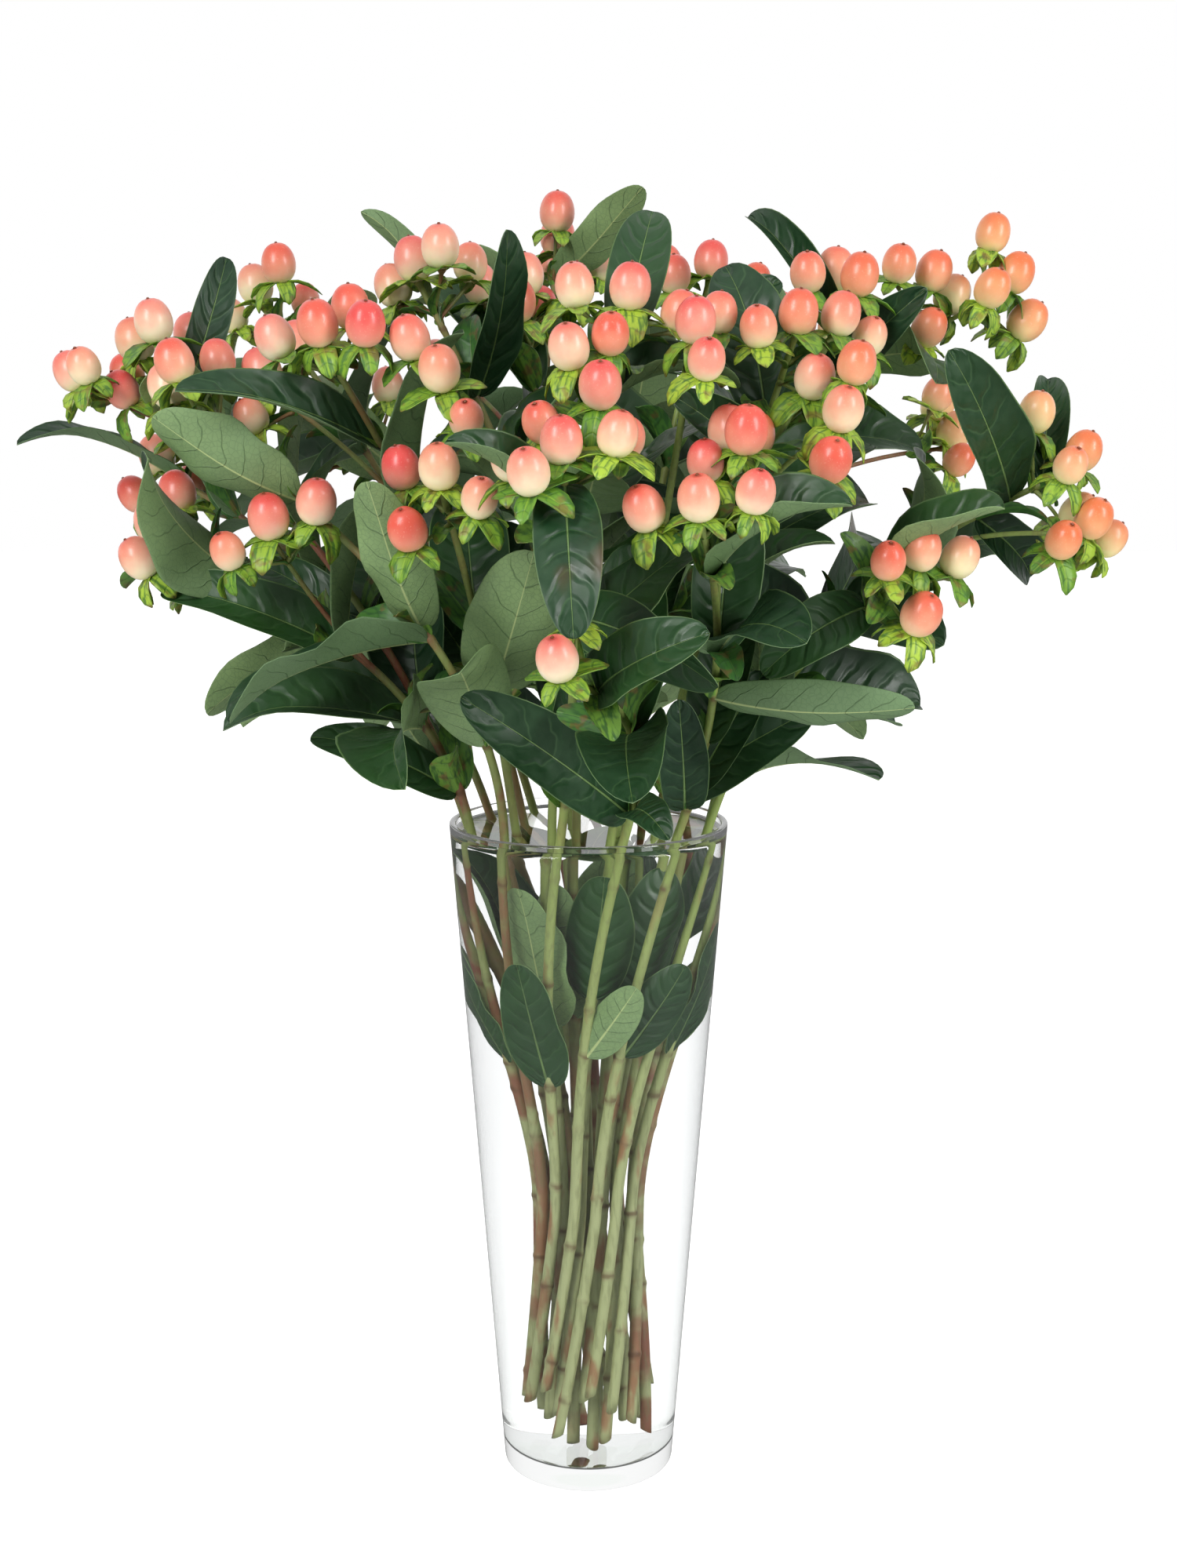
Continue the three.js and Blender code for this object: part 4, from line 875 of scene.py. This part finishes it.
def calyx_parts(berry, draw):
    parts = []
    tone, limp = draw(0, 1), draw(*LIMP)
    for k in range(SEPALS):
        angle = 360 * (k + 0.5 + draw(-0.12, 0.12)) / SEPALS
        length = SEPAL_LENGTH * berry.size * draw(0.75, 1.2)
        width = length * draw(*SEPAL_WIDTH)
        tint = np.clip(tone + draw(-0.3, 0.3), 0, 1)
        parts.append(sepal_part(berry, angle, length, width, limp + draw(-UNEVEN, UNEVEN), tint))
    return parts


def bract_ways(berry, length, draw):
    """The ways to hold a small leaf under the fork that bears a berry."""
    roll = draw(-25, 25)
    base = berry.root - berry.along * 1.5
    for tilt, swing in product([0, 15, -15, 30], [0, 25, -25, 50, -50]):
        axis = towards(berry.along, turned_about(berry.out, berry.along, swing), BRACT_LEAN + tilt)
        normal = turned_about(square_to(berry.along, axis), axis, roll)
        yield Leaf(base, base + axis * length, normal, length * 0.42, 18, 1.5, 0)


def axil_ways(stem, leaf, draw):
    """The ways to hold a young leaf that grows on the stalk beside the foot of a grown one."""
    at, along = on_stalk(stem, leaf.t)
    out = square_to(leaf.tip - leaf.base, along)
    across = np.cross(out, along) * (1 if draw(0, 1) < 0.5 else -1)
    length, lean, roll, twist = draw(*YOUNG_LENGTH), draw(*YOUNG_LEAN), draw(-30, 30), draw(-25, 25)
    for grow, tilt, swing in product([1, 0.8], [0, 14, -12], [50, -50, 75, -75, 100, -100, 25, -25]):
        axis = towards(along, towards(out, across, swing), lean + tilt)
        tip = at + axis * (length * grow)
        normal = turned_about(square_to(along, axis), axis, roll)
        yield Leaf(root_on(stem.stalk, leaf.t, axis), tip, normal, length * grow * 0.44, 20, 3, twist)


def small_leaf_ways(stem, draw):
    """The ways to hold each bract under the forks of the clusters, and then each young leaf, two in the
    axil of every dry leaf."""
    for group in stem.clusters:
        for i, berry in enumerate(group.side_berries):
            yield bract_ways(berry, draw(*BRACT_LENGTHS[i >= 2]), draw)
    for leaf in [leaf for leaf in stem.leaves if not leaf.is_wet] * 2:
        yield axil_ways(stem, leaf, draw)


# ---- Materials ----


def shade(red, green, blue):
    """A colour given as it shows on a screen, 0 to 255, made linear."""
    c = np.array([red, green, blue]) / 255
    return (*np.where(c < 0.04045, c / 12.92, ((c + 0.055) / 1.055) ** 2.4), 1.0)


class Tree:
    """Adds nodes to a node tree. An input that is a socket is linked, and any other value is set."""

    def __init__(self, tree):
        self.tree = tree

    def fill(self, node, inputs):
        for key, value in inputs.items():
            if isinstance(value, bpy.types.NodeSocket):
                self.tree.links.new(value, node.inputs[key])
            else:
                node.inputs[key].default_value = value
        return node

    def add(self, kind, inputs=None, **settings):
        node = self.tree.nodes.new("ShaderNode" + kind)
        for key, value in settings.items():
            setattr(node, key, value)
        return self.fill(node, inputs or {})

    def group(self, tree, inputs):
        return self.add("Group", inputs, node_tree=tree).outputs

    def math(self, operation, a, b=0.0, clamp=False):
        return self.add("Math", {0: a, 1: b}, operation=operation, use_clamp=clamp).outputs[0]

    def times(self, a, b):
        return self.math("MULTIPLY", a, b)

    def less(self, a, b, clamp=False):
        return self.math("SUBTRACT", a, b, clamp)

    def band(self, value, low, high, to_low=0.0, to_high=1.0):
        """Runs smoothly from to_low to to_high as the value goes from low to high."""
        inputs = {"Value": value, "From Min": low, "From Max": high, "To Min": to_low, "To Max": to_high}
        return self.add("MapRange", inputs, interpolation_type="SMOOTHSTEP").outputs[0]

    def mix(self, factor, a, b):
        return self.add("Mix", {0: factor, 6: a, 7: b}, data_type="RGBA").outputs[2]

    def layers(self, base, *layers):
        """Lays colours over a base, each where its mask says and up to its amount."""
        for mask, amount, colour in layers:
            base = self.mix(self.times(mask, amount), base, shade(*colour))
        return base

    def noise(self, vector, scale, detail=3.0):
        return self.add("TexNoise", {"Vector": vector, "Scale": scale, "Detail": detail}).outputs[0]

    def mark(self, name, output="Fac"):
        return self.add("Attribute", attribute_name=name).outputs[output]

    def place(self, stretch=None):
        """Where on the piece, or the same place with each axis stretched."""
        place = self.add("TexCoord").outputs["Object"]
        return self.stretched(place, stretch) if stretch else place

    def stretched(self, vector, stretch):
        return self.add("Mapping", {"Vector": vector, "Scale": stretch}).outputs[0]

    def bump(self, height, distance):
        return self.add("Bump", {"Height": height, "Distance": distance * MM}).outputs[0]

    def mirrored(self):
        """1 for a ray that a gloss threw back, and 0 for one that the glass let through."""
        path = self.add("LightPath").outputs
        return self.less(path["Is Glossy Ray"], path["Is Transmission Ray"], clamp=True)


def new_group(name, inputs, outputs):
    """A shader node group with named float inputs (default values) and float outputs."""
    tree = bpy.data.node_groups.new(name, "ShaderNodeTree")
    for key, value in inputs.items():
        socket = tree.interface.new_socket(key, in_out="INPUT", socket_type="NodeSocketFloat")
        socket.default_value = value
    for key in outputs:
        tree.interface.new_socket(key, in_out="OUTPUT", socket_type="NodeSocketFloat")
    entry = tree.nodes.new("NodeGroupInput")
    return tree, Tree(tree), entry.outputs, tree.nodes.new("NodeGroupOutput")


def vein_group():
    """Veins of a blade from its own marks. The side veins leave the midrib and arch towards the tip, and
    the blade puffs up between them. The net is the border of a cell pattern in the blade's millimetres."""
    tree, t, given, out = new_group(
        "Blade veins",
        {"Side veins": 7.0, "Vein width": 0.07, "Net size": 0.5, "Midrib width": 0.7},
        ["Midrib", "Side", "Net", "Puff"],
    )
    along, blade = t.mark("along"), t.mark("blade", "Vector")
    off = t.math("ABSOLUTE", t.mark("across"))
    from_rib = t.math("ABSOLUTE", t.add("SeparateXYZ", {0: blade}).outputs["X"])
    rib_width = t.times(given["Midrib width"], t.less(1.15, along))
    wander = t.times(t.noise(blade, 0.12, 1.0), 0.10)
    arch = t.times(t.math("POWER", off, 1.35), 0.17)
    run = t.less(t.math("ADD", along, wander), arch)
    beat = t.math("PINGPONG", t.times(run, given["Side veins"]), 0.5)
    fade = t.band(off, 0.97, 0.6)
    cells = t.add("TexVoronoi", {"Vector": blade, "Scale": given["Net size"]}, feature="DISTANCE_TO_EDGE")
    t.fill(out, {
        "Midrib": t.band(t.math("DIVIDE", from_rib, rib_width), 1.0, 0.4),
        "Side": t.times(t.band(beat, given["Vein width"], 0.0), fade),
        "Puff": t.times(t.band(beat, 0.0, 0.32), fade),
        "Net": t.band(cells.outputs["Distance"], 0.09, 0.01),
    })
    return tree


def mottle_group():
    """Soft blotches on a piece: noise of two sizes, spread evenly between 0 and 1."""
    tree, t, given, out = new_group("Mottle", {"Scale": 60.0, "Contrast": 1.0}, ["Coarse", "Fine"])
    place = t.place()
    for name, factor in (("Coarse", 1.0), ("Fine", 6.0)):
        centred = t.less(t.noise(place, t.times(given["Scale"], factor)), 0.5)
        spread = t.times(centred, t.times(given["Contrast"], 2.2))
        t.fill(out, {name: t.math("ADD", spread, 0.5, clamp=True)})
    return tree


veins = vein_group()
mottle = mottle_group()


def new_material(name):
    material = bpy.data.materials.new(name)
    material.use_nodes = True
    return material, Tree(material.node_tree), material.node_tree.nodes["Principled BSDF"]


def mottled_material(name, scale, contrast, smoothest, roughest):
    """A material whose fine blotches vary its gloss, with its tree, its shader and its coarse blotches."""
    material, t, bsdf = new_material(name)
    spots = t.group(mottle, {"Scale": scale, "Contrast": contrast})
    t.fill(bsdf, {"Roughness": t.band(spots["Fine"], 0.0, 1.0, smoothest, roughest)})
    return material, t, bsdf, spots


def leaf_upper():
    """Dark bluish green, a little quilted between paler side veins, with a pale rim and a few brown
    blotches."""
    material, t, bsdf, spots = mottled_material("Leaf upper side", 28.0, 1.3, 0.36, 0.5)
    lines = t.group(veins, {})
    rim = t.band(t.math("ABSOLUTE", t.mark("across")), 0.955, 0.99)
    dead = t.band(t.noise(t.place(), 21.0, 2.0), 0.7, 0.76)
    colour = t.layers(
        t.mix(t.mark("tint"), shade(18, 48, 28), shade(42, 82, 30)),
        (spots["Coarse"], 0.6, (30, 60, 36)),
        (spots["Fine"], 0.3, (52, 88, 52)),
        (lines["Side"], 0.3, (78, 112, 68)),
        (lines["Midrib"], 0.7, (116, 146, 84)),
        (rim, 0.55, (112, 142, 84)),
        (dead, 0.6, (96, 66, 40)),
    )
    relief = t.less(lines["Puff"], t.times(lines["Midrib"], 1.2))
    t.fill(bsdf, {"Base Color": colour, "Normal": t.bump(relief, 0.45)})
    return material


def leaf_under():
    """Pale grey-green with a raised pale midrib and a fine darker net."""
    material, t, bsdf, spots = mottled_material("Leaf underside", 28.0, 1.0, 0.5, 0.65)
    lines = t.group(veins, {"Vein width": 0.05})
    colour = t.layers(
        t.mix(t.mark("tint"), shade(100, 130, 90), shade(138, 166, 106)),
        (spots["Coarse"], 0.5, (92, 118, 82)),
        (lines["Net"], 0.35, (84, 112, 76)),
        (lines["Side"], 0.6, (76, 104, 66)),
        (lines["Midrib"], 1.0, (168, 184, 124)),
    )
    relief = t.math("ADD", lines["Side"], t.times(lines["Net"], 0.15))
    t.fill(bsdf, {"Base Color": colour, "Normal": t.bump(relief, 0.22)})
    return material


def sepal_green(name, low, high, dull):
    """Yellow-green with darker streaks and veins along it and a brownish touch at some tips."""
    material, t, bsdf, spots = mottled_material(name, 90.0, 1.2, 0.4, 0.55)
    lines = t.group(veins, {"Side veins": 3.0, "Vein width": 0.12, "Net size": 0.9, "Midrib width": 0.45})
    lengthwise = t.stretched(t.mark("blade", "Vector"), (1.0, 0.2, 1.0))
    tip = t.times(t.band(t.mark("along"), 0.8, 1.0), t.band(spots["Coarse"], 0.4, 0.8))
    colour = t.layers(
        t.mix(t.mark("tint"), shade(*low), shade(*high)),
        (t.band(t.noise(lengthwise, 0.8, 2.0), 0.44, 0.64), 0.85, dull),
        (lines["Side"], 0.5, dull),
        (lines["Midrib"], 0.4, high),
        (t.band(t.noise(t.place(), 170.0, 2.0), 0.56, 0.68), 0.55, (124, 80, 50)),
        (tip, 0.7, (108, 70, 46)),
    )
    t.fill(bsdf, {"Base Color": colour, "Normal": t.bump(lines["Side"], 0.12)})
    return material


def shoot_bark():
    """Green shoots that turn olive and red-brown in places, darker and corky at the leaf scars, with painted
    light making them paler below the vase's lip and more brown patches towards the foot.
    """
    material, t, bsdf, spots = mottled_material("Shoot bark", 45.0, 1.4, 0.42, 0.6)
    tint, age = t.mark("tint"), t.mark("age")
    streak = t.noise(t.place((1.0, 1.0, 0.12)), 700.0)
    patches = t.noise(t.place((1.0, 1.0, 0.3)), 110.0)
    worn = t.band(t.noise(t.place(), 160.0, 1.0), 0.4, 0.6, 0.15, 0.85)
    colour = t.layers(
        t.mix(tint, shade(140, 162, 82), shade(124, 134, 74)),
        # painted light: the bark turns paler and greyer below the lip, standing in for the light seen through
        # the glass and water
        (t.band(age, 0.0, 0.6), 0.9, (164, 170, 124)),
        (t.band(tint, 0.5, 0.95), t.band(spots["Coarse"], 0.25, 0.75), (132, 78, 58)),
        (t.band(streak, 0.45, 0.7), 0.45, (112, 118, 72)),
        (t.band(patches, 0.54, 0.66), t.band(age, 0.0, 0.5, 0.2, 0.85), (144, 98, 66)),
        (t.mark("scar"), worn, (92, 62, 36)),
    )
    t.fill(bsdf, {"Base Color": colour, "Normal": t.bump(streak, 0.15)})
    return material


def berry_skin():
    """Glossy skin, cream and a little green at the calyx, coral pink to peach above, brown at the styles."""
    material, t, bsdf, spots = mottled_material("Berry skin", 110.0, 1.0, 0.3, 0.38)
    tint = t.mark("tint")
    shift = t.times(t.less(spots["Coarse"], 0.5), 0.16)
    late = t.times(t.less(t.mark("seed"), 0.5), 0.45)
    ripe = t.math("ADD", t.math("ADD", t.mark("ripe"), shift), late)
    foot = t.mix(tint, shade(248, 232, 200), shade(240, 228, 168))
    middle = t.mix(tint, shade(240, 158, 138), shade(238, 174, 124))
    top = t.mix(tint, shade(226, 82, 78), shade(228, 120, 72))
    colour = t.layers(
        t.mix(t.band(ripe, 0.42, 0.96), t.mix(t.band(ripe, 0.08, 0.55), foot, middle), top),
        (t.band(t.noise(t.place(), 1500.0, 1.0), 0.62, 0.75), 0.18, (250, 214, 190)),
        (t.band(t.mark("ripe"), 1.06, 1.2), 1.0, (136, 76, 48)),
    )
    t.fill(bsdf, {
        "Base Color": colour, "Subsurface Weight": 0.2, "Subsurface Radius": (1.0, 0.45, 0.3),
        "Subsurface Scale": 2.5 * MM, "Coat Weight": 0.15, "Coat Roughness": 0.18,
    })
    return material


def clear_stuff(name, colour, ior):
    """Clear glass or water. Shadow rays and the light that things inside throw back pass straight through
    it, so what stands inside is lit as in the open."""
    material, t, bsdf = new_material(name)
    t.fill(bsdf, {"Base Color": colour, "Roughness": 0.0, "IOR": ior, "Transmission Weight": 1.0})
    path = t.add("LightPath").outputs
    thrown_back = t.math("MAXIMUM", path["Is Diffuse Ray"], t.mirrored())
    passing = t.math("MAXIMUM", path["Is Shadow Ray"], thrown_back)
    clear = t.add("BsdfTransparent", {"Color": (0.99, 0.995, 0.99, 1.0)}).outputs[0]
    mixed = t.add("MixShader", {0: passing, 1: bsdf.outputs[0], 2: clear}).outputs[0]
    t.fill(t.tree.nodes["Material Output"], {"Surface": mixed})
    return material


# ---- Vase and water ----

LATHE_SIDES = 144
FOOT_EDGE, LIP_EDGE, FLOOR_EDGE = 1.6, 1.1, 5.0  # how far from each corner its rounding starts
INTO_WALL, INTO_FLOOR = 0.12, 0.15  # how far the water reaches into the glass
CLIMB, CLIMB_WIDTH = 2.2, 1.4  # of the water at the wall


def lathe_part(profile):
    """A closed surface of revolution round +Z: rings at (radius, height), which start and end on the axis."""
    radius, z = np.array(profile).T
    at = np.stack([np.zeros_like(z), np.zeros_like(z), z], -1)
    rings = ring_points(at[1:-1], UP, np.array([1.0, 0, 0]), radius[1:-1], LATHE_SIDES)
    made = capped_tube(rings)
    made.points[-2], made.points[-1] = at[0], at[-1]
    return made


def rounded(corner, before, after, size, steps=5):
    """Points on the curve that rounds a corner of a profile, from a little before it to a little after."""
    corner, before, after = (np.array(p, float) for p in (corner, before, after))
    a = corner + unit(before - corner) * size
    b = corner + unit(after - corner) * size
    u = np.linspace(0, 1, steps)[:, None]
    return [tuple(p) for p in a * (1 - u) ** 2 + corner * (2 * u * (1 - u)) + b * u**2]


def vase_profile():
    inner = lambda z: outer_radius(z) - VASE.wall
    corners = [
        ((VASE.foot_radius, 0), FOOT_EDGE),
        ((outer_radius(VASE.height), VASE.height), LIP_EDGE),
        ((inner(VASE.height), VASE.height), LIP_EDGE),
        ((inner(VASE.floor), VASE.floor), FLOOR_EDGE),
    ]
    path = [(0, 0)] + [corner for corner, _ in corners] + [(0, VASE.floor)]
    profile = [(0, 0)]
    for i, (corner, size) in enumerate(corners):
        profile += rounded(corner, path[i], path[i + 2], size)
        if i in (0, 2):
            a, b = np.array(corner, float), np.array(path[i + 2], float)
            profile += [tuple(lerp(a, b, u)) for u in (0.2, 0.4, 0.6, 0.8)]
    return profile + [(0, VASE.floor)]


def water_profile():
    """The water reaches a hair into the glass, and its level climbs a little where it meets the wall."""
    inner = lambda z: outer_radius(z) - VASE.wall + INTO_WALL
    low = VASE.floor - INTO_FLOOR
    corner, above = (inner(VASE.floor), low), (inner(VASE.height), VASE.height)
    profile = [(0, low)] + rounded(corner, (0, low), above, FLOOR_EDGE)
    profile += [(inner(z), z) for z in (70, 130, 190, 240, WATER_LEVEL - 1)]
    profile += [(inner(WATER_LEVEL + CLIMB), WATER_LEVEL + CLIMB)]
    for away in (0.5, 1.2, 2.2, 3.6, 6.0):
        climb = CLIMB * math.exp(-away / CLIMB_WIDTH)
        profile.append((inner(WATER_LEVEL) - away, WATER_LEVEL + climb))
    return profile + [(0, WATER_LEVEL)]


# ---- The pieces ----

glass = clear_stuff("Clear glass", (0.985, 0.99, 0.992, 1), 1.46)
still_water = clear_stuff("Still water", (0.994, 0.998, 0.996, 1), 1.333)
upper_side, underside = leaf_upper(), leaf_under()
bark = shoot_bark()
sepal_skin = sepal_green("Sepal green", (104, 150, 44), (166, 196, 62), (62, 108, 42))
bract_skin = sepal_green("Bract green", (62, 112, 46), (120, 160, 60), (46, 86, 42))
skin = berry_skin()

make_piece("Glass_vase", [lathe_part(vase_profile())], [glass], "glass", "vase")
make_piece("Vase_water", [lathe_part(water_profile())], [still_water], "water", "water")
for stem in stems:
    node = f"leafy_stem_{stem.name}"
    draw = lottery(SEED.stem + stem.index)
    berries = [berry for group in stem.clusters for berry in (group.top, *group.side_berries)]
    make_piece(f"Shoot_{stem.name}", shoot_parts(stem, draw), [bark], "foliage", node)
    make_piece(f"Berries_{stem.name}", [berry_part(b, draw) for b in berries], [skin], "berry", node)
    calyxes = [sepal for berry in berries for sepal in calyx_parts(berry, draw)]
    make_piece(f"Sepals_{stem.name}", calyxes, [sepal_skin, sepal_skin], "sepal", node)
    leaves = [leaf_part(leaf, draw) for leaf in stem.leaves]
    if leaves:
        make_piece(f"Leaves_{stem.name}", leaves, [upper_side, underside], "leaf", node)
for stem in stems:
    ways_of_each = small_leaf_ways(stem, lottery(SEED.small + stem.index))
    found = [settle(stem, ways, leaf_room, stays_dry) for ways in ways_of_each]
    found = [leaf for leaf in found if leaf]
    small = [leaf_part(leaf, lottery(SEED.small_leaf + i), THIN_BLADE) for i, leaf in enumerate(found)]
    if small:
        make_piece(f"Bracts_{stem.name}", small, [bract_skin, bract_skin], "leaf", f"leafy_stem_{stem.name}")

# ---- Floor, light and camera ----

FLOOR_SIZE, FLOOR_DROP = 6.0, 0.2 * MM  # half its side, and how far it lies under the vase's flat foot
FLOOR_GLOW = 0.62
FRONT_OF_ROOM, BACKDROP, CEILING = 0.12, 1.0, 0.6
CAMERA = SimpleNamespace(place=(0, -0.885, 0.448), dip=9.8, lens=50, sensor=36)  # dip: below level


def where_seen(t, unseen, seen):
    """One strength for what the camera looks at, straight or through the glass, and one for all the rest."""
    path = t.add("LightPath").outputs
    turned = t.less(path["Ray Depth"], path["Transmission Depth"], clamp=True)
    through = t.times(path["Is Transmission Ray"], t.less(1.0, t.times(turned, 0.85)))
    looked_at = t.math("MAXIMUM", path["Is Camera Ray"], through)
    return t.add("MapRange", {"Value": looked_at, "To Min": unseen, "To Max": seen}).outputs[0]


def make_floor():
    mesh = bpy.data.meshes.new("Floor")
    sides = [(-1, -1), (1, -1), (1, 1), (-1, 1)]
    mesh.from_pydata([(x * FLOOR_SIZE, y * FLOOR_SIZE, -FLOOR_DROP) for x, y in sides], [], [(0, 1, 2, 3)])
    material, t, bsdf = new_material("Pale floor")
    colour = t.mix(t.mirrored(), shade(236, 236, 236), shade(90, 90, 90))
    t.fill(bsdf, {"Base Color": colour, "Roughness": 0.8, "Emission Color": (1, 1, 1, 1)})
    t.fill(bsdf, {"Emission Strength": where_seen(t, 0.04, FLOOR_GLOW)})
    mesh.materials.append(material)
    floor = put("Floor", mesh)


def soft_light(name, place, target, size, power):
    light = bpy.data.lights.new(name, "AREA")
    light.shape = "RECTANGLE"
    light.size, light.size_y = size
    light.energy = power
    lamp = put(name, light)
    lamp.location = place
    lamp.rotation_euler = (Vector(target) - Vector(place)).to_track_quat("-Z", "Y").to_euler()


def make_world():
    """A studio with a white backdrop beyond the bunch and a darker room in front of it. What the camera
    looks at straight or through the glass is white all round."""
    world = bpy.data.worlds.new("White studio")
    world.use_nodes = True
    t = Tree(world.node_tree)
    direction = t.add("SeparateXYZ", {0: t.add("TexCoord").outputs["Generated"]}).outputs
    beyond = t.band(direction["Y"], -0.3, 0.8, FRONT_OF_ROOM, BACKDROP)
    room = t.math("MAXIMUM", beyond, t.band(direction["Z"], 0.2, 0.9, FRONT_OF_ROOM, CEILING))
    background = world.node_tree.nodes["Background"]
    t.fill(background, {"Color": (1, 1, 1, 1), "Strength": where_seen(t, room, 1.0)})
    bpy.context.scene.world = world


def make_camera():
    camera = bpy.data.cameras.new("Camera")
    camera.lens = CAMERA.lens
    camera.sensor_fit = "VERTICAL"
    camera.sensor_height = CAMERA.sensor
    holder = put("Camera", camera)
    holder.location = CAMERA.place
    holder.rotation_euler = (math.radians(90 - CAMERA.dip), 0, 0)
    bpy.context.scene.camera = holder


make_floor()
make_world()
soft_light("Key", (-0.75, -1.2, 1.0), (0, 0, 0.38), (0.45, 0.9), 16)
soft_light("Fill", (1.05, -0.85, 0.75), (0, 0, 0.36), (0.3, 0.9), 11)
make_camera()
bpy.context.scene.view_settings.view_transform = "Standard"
